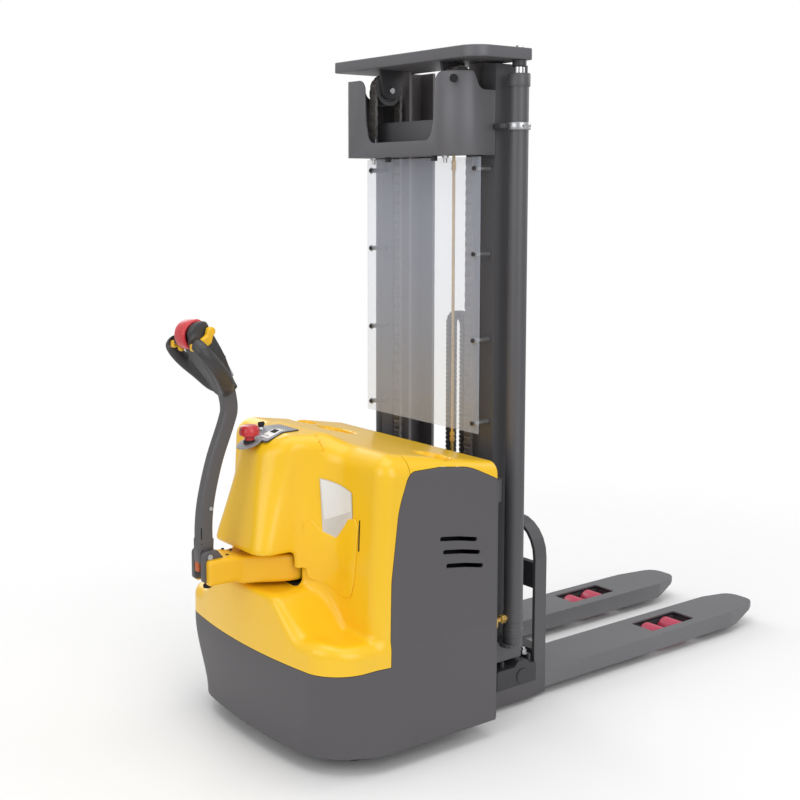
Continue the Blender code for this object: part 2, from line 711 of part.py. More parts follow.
def caster_fork(name):
    wheel_z = CASTER_R
    top = 0.176 - GAP
    plate = cylinder(name, 0.036, (CASTER_X, CASTER_Y, top - 0.006), 0.012, sides=16)
    wheel_y = CASTER_Y + CASTER_TRAIL
    for side in (-1, 1):
        middle = CASTER_X + side * (CASTER_WIDTH / 2 + 0.005)
        cheek = prism("cheek", ((CASTER_Y - 0.030, top - 0.004, 0), (CASTER_Y + 0.030, top - 0.004, 0),
                                (wheel_y + 0.018, wheel_z - 0.018, 0.012),
                                (wheel_y - 0.018, wheel_z - 0.018, 0.012)),
                      middle - 0.002, middle + 0.002, "YZ")
        union(plate, cheek)
    axle = cylinder("axle", 0.008, (CASTER_X, wheel_y, wheel_z), CASTER_WIDTH + 0.014, "X", 12)
    return union(plate, axle)


def caster_wheel(name):
    return ring(name, CASTER_R, 0.008 + RUN, (CASTER_X, CASTER_Y + CASTER_TRAIL, CASTER_R),
                CASTER_WIDTH, "X", 20)


# ---------------------------------------------------------------- tiller
def strip(name, line, wide, deep):
    """A flat-sided bar of the given section that follows (y, z) points in the centre plane."""
    front, back = [], []
    count = len(line)
    for index, (y, z) in enumerate(line):
        before = Vector(line[max(index - 1, 0)])
        after = Vector(line[min(index + 1, count - 1)])
        along = (after - before).normalized()
        normal = Vector((-along.y, along.x)) * (deep / 2)
        front.append((y + normal.x, z + normal.y, 0))
        back.append((y - normal.x, z - normal.y, 0))
    return prism(name, front + back[::-1], -wide / 2, wide / 2, "YZ")


def smooth_line(line, steps):
    """Points of a Catmull-Rom curve through the line's points."""
    points = [Vector(place) for place in line]
    padded = [points[0] * 2 - points[1]] + points + [points[-1] * 2 - points[-2]]
    result = []
    for index in range(len(points) - 1):
        a, b, c, d = padded[index:index + 4]
        for step in range(steps):
            t = step / steps
            result.append(((b * 2) + (c - a) * t + (a * 2 - b * 5 + c * 4 - d) * t * t
                           + (b * 3 - a - c * 3 + d) * t ** 3) / 2)
    result.append(points[-1])
    return [tuple(place) for place in result]


def make_tiller(tiller, head_frame, throttle, belly, rocker):
    pivot_y, pivot_z = TILLER_PIVOT
    arm = strip("tiller_arm", smooth_line(ARM_LINE, 2), TILLER_WIDE, TILLER_DEEP)
    soften(arm, 0.006, 1, 50)
    knuckle = prism("knuckle", ((pivot_y - 0.020, pivot_z - 0.025, 0.012), (pivot_y + 0.020, pivot_z - 0.025, 0.012),
                                (pivot_y + 0.026, pivot_z + 0.055, 0), (pivot_y - 0.026, pivot_z + 0.055, 0)),
                    -TILLER_WIDE / 2, TILLER_WIDE / 2, "YZ")
    union(arm, knuckle)
    cut(arm, cylinder("pin_room", 0.008 + RUN, (0, pivot_y, pivot_z), 0.2, "X", 12))

    place = head_frame.matrix_world
    body = prism("tiller_head", ((-0.036, 0.004, 0.012), (0.036, 0.004, 0.012), (0.040, 0.15, 0.0),
                                 (0.036, GRIP_LENGTH - 0.04, 0.02), (0.004, GRIP_LENGTH - 0.012, 0.01),
                                 (-0.040, GRIP_LENGTH - 0.030, 0.02), (-0.042, 0.12, 0)),
                 -GRIP_HALF, GRIP_HALF, "YZ")
    soften(body, 0.010, 1, 50)
    for side in (-1, 1):
        loop = [(side * x, y, z) for x, y, z in smooth_line(
            ((0.030, -0.020, 0.030), (0.062, -0.026, 0.060), (0.096, -0.030, 0.110), (0.104, -0.030, 0.160),
             (0.082, -0.026, 0.205), (0.030, -0.018, 0.212)), 2)]
        union(body, tube("grip", loop, 0.0125, resolution=1))
    placed(body, place)
    cut(body, placed(box("belly_room", (-0.0355, -0.080, 0.2125), (0.0355, 0.0115, 0.30)), place))
    cut(body, placed(cylinder("throttle_room", 0.0085, (0, 0.0, 0.176), 0.30, "X", 16), place))
    cut(body, placed(box("rocker_room", (-0.0165, 0.0315, 0.0795), (0.0165, 0.060, 0.1205)), place))
    finish(body, "black", tiller)
    cut(arm, placed(box("head_joint", (-0.1, -0.1, 0.0035), (0.1, 0.1, 0.1)), place))
    finish(arm, "dark_grey", tiller)

    shaft = cylinder("throttle_paddles", 0.0080, (0, 0.0, 0.176), 2 * GRIP_HALF + 0.020, "X", 12)
    for side in (-1, 1):
        x0, x1 = sorted((side * (GRIP_HALF + 0.003), side * (GRIP_HALF + 0.020)))
        paddle = prism("paddle", ((-0.034, 0.150, 0.006), (-0.012, 0.160, 0), (0.012, 0.160, 0),
                                  (0.036, 0.170, 0.006), (0.034, 0.190, 0.008), (0.010, 0.190, 0),
                                  (-0.010, 0.188, 0), (-0.034, 0.172, 0.006)), x0, x1, "YZ")
        union(shaft, paddle)
    placed(shaft, place)
    finish(shaft, "yellow", throttle)

    button = prism("belly_button", ((-0.034, 0.2185, 0), (0.011, 0.2185, 0), (0.011, 0.246, 0.014),
                                    (-0.034, 0.240, 0.014)), -0.035, 0.035, "YZ")
    soften(button, 0.004, 1, 50)
    placed(button, place)
    finish(button, "red", belly)
    key = prism("lift_rocker", ((0.0345, 0.081, 0), (0.044, 0.081, 0.002), (0.041, 0.100, 0), (0.044, 0.119, 0.002),
                                (0.0345, 0.119, 0)), -0.016, 0.016, "YZ")
    placed(key, place)
    finish(key, "grey_plastic", rocker)


def placed(item, place):
    """Move a cutter that is modelled in the tiller head's frame to where the head is."""
    bpy.context.view_layer.update()
    item.matrix_world = place @ item.matrix_world
    bpy.context.view_layer.update()
    return item


# ---------------------------------------------------------------- mast
def channel(name, outer, front, back, flange, wall, low, high):
    """An upright channel on the +X side, open towards the centre plane."""
    return prism(name, ((outer - flange, front, 0), (outer, front, 0), (outer, back, 0),
                        (outer - flange, back, 0), (outer - flange, back - wall, 0),
                        (outer - wall, back - wall, 0), (outer - wall, front + wall, 0),
                        (outer - flange, front + wall, 0)), low, high)


def outer_rail(name):
    rail = channel(name, RAIL_OUT, RAIL_FRONT, RAIL_BACK, RAIL_FLANGE, RAIL_WALL,
                   RAIL_LOW + GAP, RAIL_TOP)
    post_x = RAIL_OUT - 0.023
    length = GUARD_Y * -1 + RAIL_FRONT - GUARD / 2 - GAP
    for z in STANDOFF_ZS:
        middle = RAIL_FRONT - length / 2 + 0.002
        union(rail, cylinder("standoff", 0.0065, (post_x, middle, z), length + 0.004, "Y", 12))
    front = BODY_REAR + GAP * 2 + 0.004
    stay = prism("stay", ((0.236, front, 0), (0.350, front, 0), (0.350, RAIL_FRONT, 0.030),
                          (0.236, RAIL_FRONT + 0.002, 0)), *STAY_Z)
    cup = cylinder("cup", CYL_R + 0.002, (CYL_X, CYL_Y, CYL_FOOT - 0.006 - GAP), 0.012, sides=16)
    web = box("cup_web", (RAIL_OUT - 0.002, CYL_Y - 0.020, CYL_FOOT - 0.012),
              (CYL_X, CYL_Y + 0.020, CYL_FOOT - 0.002))
    return union(rail, stay, cup, web)


def mast_foot(root):
    """The lower cross-member: base plate, lugs and the lateral shaft in the two bearings."""
    high = RAIL_LOW
    low = high - FOOT_PLATE
    foot = box("mast_foot", (0.0035 - BEARING_X[0], -0.300, low), (BEARING_X[0] - 0.0035, RAIL_BACK, high))
    union(foot, box("wide_plate", (-RAIL_OUT, -0.300, low), (RAIL_OUT, -0.2275, high)))
    for side in (-1, 1):
        x0, x1 = sorted((side * 0.200, side * 0.2275))
        union(foot, prism("lug", ((-0.16, high - 0.004, 0), (-0.16, SHAFT_Z, 0.02), (SHAFT_Y, SHAFT_Z - 0.045, 0.04),
                                  (-0.078, SHAFT_Z, 0.02), (-0.078, low - 0.004, 0), (-0.113, high - 0.004, 0)),
                          x0, x1, "YZ", steps=2))
    half = BEARING_X[1] + 0.003
    union(foot, cylinder("shaft", SHAFT_R, (0, SHAFT_Y, SHAFT_Z), 2 * half, "X", 20))
    finish(foot, "mast_grey", root)


def head_bracket(root):
    outer, front, wall = RAIL_OUT, BRACKET_FRONT, BRACKET_WALL
    rear = RAIL_FRONT - GAP
    corner = BRACKET_CORNER
    plan = ((-outer, rear, 0), (-outer, front, corner), (outer, front, corner), (outer, rear, 0),
            (outer - wall, rear, 0), (outer - wall, front + wall, corner - wall),
            (-outer + wall, front + wall, corner - wall), (-outer + wall, rear, 0))
    bracket = prism("head_bracket", plan, BRACKET_LOW, BRACKET_EAR_TOP, steps=5)
    floor_rear = -0.287
    floor = prism("floor", ((-outer + 0.001, floor_rear, 0), (outer - 0.001, floor_rear, 0),
                            (outer - 0.001, front + 0.001, corner), (-outer + 0.001, front + 0.001, corner)),
                  BRACKET_LOW, BRACKET_LOW + 0.006, steps=5)
    union(bracket, floor)
    tie = box("tie", (-outer + wall - 0.001, -0.300, BRACKET_LOW), (outer - wall + 0.001, -0.294, TIE_TOP))
    union(bracket, tie)
    high = BRACKET_EAR_TOP + 0.086
    notch = prism("notch", ((-0.182, high, 0), (-0.120, NOTCH_LOW, 0.03), (0.120, NOTCH_LOW, 0.03),
                            (0.182, high, 0)), front - 0.02, front + wall + 0.02, "XZ")
    cut(bracket, notch)
    side_cut = prism("side_step", ((-0.10, BRACKET_SIDE_TOP, 0), (-0.325, BRACKET_SIDE_TOP, 0.02),
                                   (-0.350, BRACKET_EAR_TOP + 0.02, 0), (-0.10, BRACKET_EAR_TOP + 0.02, 0)),
                     -outer - 0.02, outer + 0.02, "YZ")
    cut(bracket, side_cut)
    for side in (-1, 1):
        cut(bracket, cylinder("anchor_hole", 0.005, (side * PULLEY_X, PULLEY_Y - PULLEY_R - CHAIN / 2,
                                                     BRACKET_LOW), 0.05, sides=8))
    finish(bracket, "mast_grey", root)


def barrel(name):
    inner = CYL_R - CYL_WALL
    bore = ROD_R + RUN
    top = CYL_TOP + CYL_CAP
    tube_part = turned(name, ((bore, top), (CYL_R + 0.003, top), (CYL_R + 0.003, CYL_TOP), (CYL_R, CYL_TOP),
                              (CYL_R, CYL_FOOT), (0, CYL_FOOT), (0, CYL_FOOT + 0.02),
                              (inner, CYL_FOOT + 0.02), (inner, CYL_TOP), (bore, CYL_TOP)),
                       (CYL_X, CYL_Y, 0), "Z", 18)
    return union(tube_part, fitting("fitting"))


def piston_rod(name):
    high = PLATE_LOW - GAP
    low = CYL_FOOT + 0.03
    piston = CYL_R - CYL_WALL - RUN
    return turned(name, ((0, high), (ROD_R, high), (ROD_R, low + 0.03), (piston, low + 0.03), (piston, low),
                         (0, low)), (CYL_X, CYL_Y, 0), "Z", 18)


def clamp_band(name):
    """Split band round a lift cylinder, with the tail that fixes it to the rail and its bolt lug."""
    sides, half, lug = 24, 0.006, 0.014
    room = (CYL_R + GAP) / cos(pi / sides)
    band = cylinder(name, CYL_R + BAND_WALL, (CYL_X, CYL_Y, BAND_Z), BAND_HEIGHT, sides=sides)
    tail = box("tail", (RAIL_OUT + GAP, CYL_Y - 0.060, BAND_Z - BAND_HEIGHT / 2 + 0.002),
               (CYL_X + 0.003, CYL_Y - CYL_R - 0.0018, BAND_Z + BAND_HEIGHT / 2 - 0.002))
    ears = box("lug", (CYL_X + CYL_R - 0.002, CYL_Y - half, BAND_Z - 0.008),
               (CYL_X + CYL_R + lug, CYL_Y + half, BAND_Z + 0.008))
    union(band, tail, ears)
    return cut(band, cylinder("barrel_room", room, (CYL_X, CYL_Y, BAND_Z), 0.05, sides=sides))


def fitting(name):
    front = CYL_Y - CYL_R
    stub = cylinder(name, 0.007, (CYL_X, front - 0.019, CYL_FOOT + 0.085), 0.044, "Y", 10)
    nut = cylinder("nut", 0.011, (CYL_X, front - 0.014, CYL_FOOT + 0.085), 0.010, "Y", 6)
    elbow = cylinder("elbow", 0.0085, (CYL_X, front - 0.040, CYL_FOOT + 0.079), 0.030, "Z", 10)
    return union(stub, nut, elbow)


def make_mast(root):
    both_sides("outer_rail", outer_rail, "mast_grey", (root, root))
    mast_foot(root)
    head_bracket(root)
    guard = box("guard_panel", (-RAIL_OUT, GUARD_Y - GUARD / 2, GUARD_LOW),
                (RAIL_OUT, GUARD_Y + GUARD / 2, GUARD_TOP))
    finish(guard, "clear", root)
    both_sides("lift_cylinder", barrel, "mast_grey", (root, root))
    both_sides("cylinder_band", clamp_band, "steel", (root, root))

    pipe_x, pipe_y = 0.143, -0.2862
    pipe = cylinder("hydraulic_pipe", 0.005, (pipe_x, pipe_y, (RAIL_LOW + BRACKET_LOW) / 2),
                    BRACKET_LOW - RAIL_LOW - 2 * GAP, sides=12)
    for z in (RAIL_LOW + 0.020, 0.880, BRACKET_LOW - 0.030):
        union(pipe, cylinder("union_nut", 0.0080, (pipe_x, pipe_y, z), 0.030, sides=6))
    finish(pipe, "brass", root)

    carrier_x, carrier_y, loop_r = 0.075, -0.206, 0.034
    top = 1.262
    line = [(carrier_x - loop_r, RAIL_LOW + GAP), (carrier_x - loop_r, top - loop_r)]
    line += [(carrier_x - loop_r * cos(pi * k / 8), top - loop_r + loop_r * sin(pi * k / 8)) for k in range(1, 8)]
    line += [(carrier_x + loop_r, top - loop_r), (carrier_x + loop_r, RAIL_LOW + GAP)]
    outside, inside = [], []
    for index, (x, z) in enumerate(line):
        if z <= top - loop_r:
            out = Vector((1 if x > carrier_x else -1, 0))
        else:
            out = Vector((x - carrier_x, z - top + loop_r)).normalized()
        outside.append((x + out.x * 0.011, z + out.y * 0.011, 0))
        inside.append((x - out.x * 0.011, z - out.y * 0.011, 0))
    carrier = prism("cable_carrier", outside + inside[::-1], carrier_y - 0.016, carrier_y + 0.016, "XZ")
    finish(carrier, "black", root)


def inner_rail(name):
    rail = channel(name, INNER_OUT, RAIL_FRONT + INNER_WALL, RAIL_BACK - INNER_WALL, INNER_FLANGE,
                   INNER_WALL, INNER_LOW, PLATE_LOW - GAP)
    middle = (RAIL_FRONT + RAIL_BACK) / 2
    radius = (RAIL_BACK - RAIL_FRONT) / 2 - RAIL_WALL - SLIDE
    outer = RAIL_OUT - RAIL_WALL - SLIDE
    inner = RAIL_OUT - RAIL_FLANGE
    for z in MAST_ROLLER_ZS:
        roller = cylinder("mast_roller", radius, ((outer + inner) / 2 + 0.003, middle, z), outer - inner - 0.006,
                          "X", 20)
        stub = cylinder("roller_stub", 0.020, ((outer + INNER_OUT) / 2 - 0.01, middle, z),
                        outer - INNER_OUT, "X", 12)
        union(rail, stub, roller)
    return rail


def make_inner_mast(inner):
    both_sides("inner_rail", inner_rail, "mast_grey", (inner, inner))
    both_sides("piston_rod", piston_rod, "steel", (inner, inner))
    tie = box("inner_crossbeam", (-INNER_OUT, RAIL_FRONT - 0.0025, INNER_LOW),
              (INNER_OUT, RAIL_FRONT + INNER_WALL - GAP, 0.255))
    finish(tie, "mast_grey", inner)

    plate = prism("top_plate", ((-PLATE_HALF, PLATE_BACK, 0.01), (-PLATE_HALF, PLATE_FRONT, 0.065),
                                (PLATE_HALF, PLATE_FRONT, 0.065), (PLATE_HALF, PLATE_BACK, 0.01)),
                  PLATE_LOW, PLATE_LOW + PLATE, steps=4)
    for side in (-1, 1):
        near = side * (PULLEY_X - PULLEY_WIDTH / 2 - 0.003)
        x0, x1 = sorted((near, near - side * 0.010))
        hanger = prism("hanger", ((PULLEY_Y - PULLEY_R, PLATE_LOW + 0.002, 0),
                                  (PULLEY_Y - 0.030, PULLEY_Z - 0.020, 0.012),
                                  (PULLEY_Y + 0.030, PULLEY_Z - 0.020, 0.012),
                                  (PULLEY_Y + PULLEY_R, PLATE_LOW + 0.002, 0)),
                       x0, x1, "YZ")
        far = side * (PULLEY_X + PULLEY_WIDTH / 2 + 0.008)
        middle = (near + far) / 2
        axle = cylinder("axle", 0.010, (middle, PULLEY_Y, PULLEY_Z), abs(far - near) + 0.01, "X", 14)
        collar = cylinder("collar", 0.016, (far, PULLEY_Y, PULLEY_Z), 0.006, "X", 14)
        bolt = cylinder("rod_bolt", 0.012, (side * CYL_X, CYL_Y, PLATE_LOW + PLATE + 0.003), 0.010, sides=6)
        union(plate, hanger, axle, collar, bolt)
    finish(plate, "mast_grey", inner)


def chain_pulley(name):
    return ring(name, PULLEY_R, 0.010 + RUN, (PULLEY_X, PULLEY_Y, PULLEY_Z), PULLEY_WIDTH, "X", 24)


def chain_run(name, y, low, high):
    """One straight run of a leaf chain, as the flat bar that its plates fill."""
    return box(name, (PULLEY_X - CHAIN_WIDTH / 2, y - CHAIN / 2, low),
               (PULLEY_X + CHAIN_WIDTH / 2, y + CHAIN / 2, high))


def anchor_run(name):
    """The short run, over the pulley to the anchor on the head bracket."""
    reach = PULLEY_R + GAP
    front = PULLEY_Y - reach - CHAIN
    rear = PULLEY_Y + reach + CHAIN
    arc = 16
    outside = [(PULLEY_Y - (reach + CHAIN) * cos(pi * k / arc), PULLEY_Z + (reach + CHAIN) * sin(pi * k / arc), 0)
               for k in range(arc + 1)]
    inside = [(PULLEY_Y - reach * cos(pi * k / arc), PULLEY_Z + reach * sin(pi * k / arc), 0)
              for k in range(arc, -1, -1)]
    outline = [(front, BRACKET_LOW + 0.006 + GAP, 0)] + outside[:-1]
    outline += [(rear, PULLEY_Z, 0), (rear - CHAIN, PULLEY_Z, 0)]
    outline += inside[1:] + [(front + CHAIN, BRACKET_LOW + 0.006 + GAP, 0)]
    return prism(name, outline, PULLEY_X - CHAIN_WIDTH / 2, PULLEY_X + CHAIN_WIDTH / 2, "YZ")


def carriage_run(name):
    y = PULLEY_Y + PULLEY_R + GAP + CHAIN / 2
    return chain_run(name, y, BEAM_Z[1] + GAP, PULLEY_Z - GAP)


# ---------------------------------------------------------------- carriage and forks
def make_carriage(carriage):
    inside = HOOP_OUT - HOOP_BAR - GAP
    frame = box("carriage_frame", (-inside, -HOOP_DEEP, FORK_TOP), (inside, -0.0005, 0.165))
    union(frame, box("upper_beam", (-inside, -HOOP_DEEP, UPPER_BEAM_Z[0]), (inside, -0.030, UPPER_BEAM_Z[1])))
    for side in (-1, 1):
        x0, x1 = sorted((side * CARRIAGE_HALF, side * (CARRIAGE_HALF - CARRIAGE_WALL)))
        cheek = prism("cheek", ((-0.225, 0.185, 0.02), (-0.100, 0.185, 0), (-0.075, 0.100, 0),
                                   (-0.012, 0.100, 0), (-0.032, CARRIAGE_TOP, 0.02),
                                (-0.225, CARRIAGE_TOP, 0.02)), x0, x1, "YZ")
        arm = box("beam_arm", (x0, -0.272, BEAM_Z[0]), (x1, -0.200, BEAM_Z[1]))
        union(frame, cheek, arm)
        middle = (RAIL_FRONT + RAIL_BACK) / 2
        radius = (RAIL_BACK - RAIL_FRONT) / 2 - 2 * INNER_WALL - SLIDE
        outer = INNER_OUT - INNER_WALL - SLIDE
        inner_side = INNER_OUT - INNER_FLANGE
        for z in CARRIAGE_ROLLER_ZS:
            union(frame, cylinder("roller_stub", 0.018, (side * (CARRIAGE_HALF + outer) / 2 - side * 0.004, middle, z),
                                  outer - CARRIAGE_HALF + 0.004, "X", 8),
                  cylinder("carriage_roller", radius, (side * ((inner_side + outer) / 2 + 0.003), middle, z),
                           outer - inner_side - 0.006, "X", 16))
    beam_back = PULLEY_Y + PULLEY_R + GAP + CHAIN
    union(frame, box("chain_beam", (-0.206, -0.272, BEAM_Z[0]), (0.206, beam_back, BEAM_Z[1])))
    finish(frame, "mast_grey", carriage)

    inner = HOOP_OUT - HOOP_BAR
    low = 0.012
    bend = HOOP_ROUND
    hoop = prism("load_hoop", ((-HOOP_OUT, low, 0), (-inner, low, 0), (-inner, HOOP_TOP - HOOP_BAR, bend - HOOP_BAR),
                               (inner, HOOP_TOP - HOOP_BAR, bend - HOOP_BAR), (inner, low, 0), (HOOP_OUT, low, 0),
                               (HOOP_OUT, HOOP_TOP, bend), (-HOOP_OUT, HOOP_TOP, bend)),
                 -HOOP_DEEP, -GAP, "XZ", steps=6)
    finish(hoop, "mast_grey", carriage)
    both_sides("fork", fork, "mast_grey", (carriage, carriage))


def fork(name):
    """A fork: a long inverted channel with a cut-out over the rollers."""
    nose = 0.05
    heel = HOOP_OUT - HOOP_BAR - GAP
    outline = ((FORK_IN, -HOOP_DEEP, 0), (heel, -HOOP_DEEP, 0), (heel, GAP, 0), (FORK_OUT, GAP, 0),
               (FORK_OUT, TAPER_Y, 0.05), (FORK_OUT - 0.030, FORK_LENGTH, nose),
               (FORK_IN + 0.030, FORK_LENGTH, nose), (FORK_IN, TAPER_Y + 0.05, 0.05))
    blade = prism(name, outline, FORK_LOW, FORK_TOP)
    cut(blade, box("heel_seat", (0, -0.2, FORK_TOP - GAP), (0.4, 0.004, FORK_TOP + 0.05)))
    side, end = FORK_WALL, 0.03
    room = ((FORK_IN + side, -HOOP_DEEP - 0.02, 0), (heel - side, -HOOP_DEEP - 0.02, 0), (heel - side, 0.02, 0),
            (FORK_OUT - side, 0.02, 0), (FORK_OUT - side, TAPER_Y, 0.05),
            (FORK_OUT - 0.030 - side, FORK_LENGTH - end, nose - 0.01),
            (FORK_IN + 0.030 + side, FORK_LENGTH - end, nose - 0.01), (FORK_IN + side, TAPER_Y + 0.05, 0.05))
    cut(blade, prism("fork_room", room, FORK_LOW - 0.05, FORK_TOP - FORK_WALL))
    cut(blade, prism("nose_cut", ((NOSE_CUT_Y, FORK_LOW - 0.001, 0), (FORK_LENGTH + 0.01, FORK_TOP - 0.012, 0),
                                  (FORK_LENGTH + 0.01, -0.1, 0), (NOSE_CUT_Y, -0.1, 0)),
                     0, 0.4, "YZ"))
    x0, x1, y0, y1 = WINDOW
    cut(blade, prism("window", ((x0, y0, 0.008), (x1, y0, 0.008), (x1, y1, 0.008), (x0, y1, 0.008)),
                     FORK_TOP - 0.05, FORK_TOP + 0.05, steps=2))
    return blade


def roller_middle():
    return (WINDOW[0] + WINDOW[1]) / 2


def bogie(name):
    """The rocker between two tandem rollers: cheeks, cross pin and the rollers' axles."""
    middle_x = roller_middle()
    middle_y = sum(ROLLER_YS) / 2
    span = (ROLLER_YS[1] - ROLLER_YS[0]) / 2
    gap = ROLLER_WIDTH / 2 + 0.001
    piece = cylinder(name, 0.0095, ((LEG_IN + LEG_OUT) / 2, middle_y, BOGIE_Z), LEG_OUT - LEG_IN - 0.004, "X", 12)
    for side in (-1, 1):
        x0, x1 = sorted((middle_x + side * gap, middle_x + side * (gap + 0.0085)))
        union(piece, prism("rocker_cheek", ((middle_y - span - 0.014, 0.028, 0.01),
                                            (middle_y + span + 0.014, 0.028, 0.01),
                                            (middle_y + span + 0.014, 0.054, 0.01), (middle_y + 0.02, 0.066, 0.01),
                                            (middle_y - 0.02, 0.066, 0.01), (middle_y - span - 0.014, 0.054, 0.01)),
                           x0, x1, "YZ", steps=1))
    for y in ROLLER_YS:
        union(piece, cylinder("roller_axle", 0.010, (middle_x, y, ROLLER_R), 2 * gap + 0.012, "X", 12))
    return piece


def roller_at(y):
    def make(name):
        return ring(name, ROLLER_R, 0.010 + RUN, (roller_middle(), y, ROLLER_R), ROLLER_WIDTH, "X", 20)
    return make


# ---------------------------------------------------------------- assembly
def build():
    clear_scene()
    root = empty("stacker", (0, 0, 0))
    lid_pivot = empty("lid_pivot", (0, BODY_REAR, 0.800), root)
    stop_pivot = empty("stop_pivot", stop_point(0), root)
    key_pivot = empty("key_pivot", key_point(0), root)
    steer = empty("steer_pivot", (0, STEER_Y, 0), root)
    wheel = empty("wheel_pivot", (0, STEER_Y, DRIVE_R), steer)
    tiller = empty("tiller_pivot", (0, *TILLER_PIVOT), steer)
    neck = ARM_LINE[-1]
    head_frame = empty("head_frame", (0, *neck), tiller, (HEAD_TILT, 0, 0))
    bpy.context.view_layer.update()
    frame = head_frame.matrix_world
    throttle = empty("throttle_pivot", frame @ Vector((0, 0, 0.176)), tiller)
    belly = empty("belly_pivot", frame @ Vector((0, -0.01, 0.223)), tiller)
    rocker = empty("rocker_pivot", frame @ Vector((0, 0.036, 0.100)), tiller)
    inner = empty("inner_mast", (0, CYL_Y, INNER_LOW), root)
    carriage = empty("carriage", (0, 0, FORK_LOW), inner)
    pulleys = [empty(f"pulley_pivot_{tag}", (side * PULLEY_X, PULLEY_Y, PULLEY_Z), inner)
               for side, tag in ((1, "right"), (-1, "left"))]
    swivels = [empty(f"caster_pivot_{tag}", (side * CASTER_X, CASTER_Y, 0.176), root)
               for side, tag in ((1, "right"), (-1, "left"))]
    hubs = [empty(f"caster_hub_{tag}", (side * CASTER_X, CASTER_Y + CASTER_TRAIL, CASTER_R), swivel)
            for side, tag, swivel in ((1, "right", swivels[0]), (-1, "left", swivels[1]))]
    rockers = [empty(f"bogie_pivot_{tag}", (side * (LEG_IN + LEG_OUT) / 2, sum(ROLLER_YS) / 2, BOGIE_Z), root)
               for side, tag in ((1, "right"), (-1, "left"))]

    make_panels(root, lid_pivot)
    make_dash(root, stop_pivot, key_pivot)
    make_chassis(root)
    make_drive(steer, wheel)
    both_sides("caster_fork", caster_fork, "mast_grey", swivels)
    both_sides("caster_wheel", caster_wheel, "black", hubs)
    make_tiller(tiller, head_frame, throttle, belly, rocker)
    make_mast(root)
    make_inner_mast(inner)
    both_sides("chain_pulley", chain_pulley, "steel", pulleys)
    both_sides("chain_anchor_run", anchor_run, "steel", (inner, inner))
    both_sides("chain_carriage_run", carriage_run, "steel", (inner, inner))
    make_carriage(carriage)
    both_sides("bogie", bogie, "mast_grey", rockers)
    for place, y in zip(("rear", "front"), ROLLER_YS):
        axles = [empty(f"roller_axle_{place}_{tag}", (side * roller_middle(), y, ROLLER_R), parent)
                 for side, tag, parent in ((1, "right", rockers[0]), (-1, "left", rockers[1]))]
        both_sides(f"load_roller_{place}", roller_at(y), "polyurethane", axles)
    centre_on_origin(root)


def centre_on_origin(root):
    """Move the whole object so that its box is centred on the origin and stands on the floor."""
    bpy.context.view_layer.update()
    points = [item.matrix_world @ vertex.co for item in parts.objects if item.type == "MESH"
              for vertex in item.data.vertices]
    for axis in range(2):
        values = [point[axis] for point in points]
        root.location[axis] = -(min(values) + max(values)) / 2
    root.location.z = -min(point.z for point in points)
    bpy.context.view_layer.update()


build()
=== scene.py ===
"""Looks of the walkie stacker: painted panels, mast, chains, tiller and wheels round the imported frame."""
import json
from math import atan2, cos, pi, radians, sin

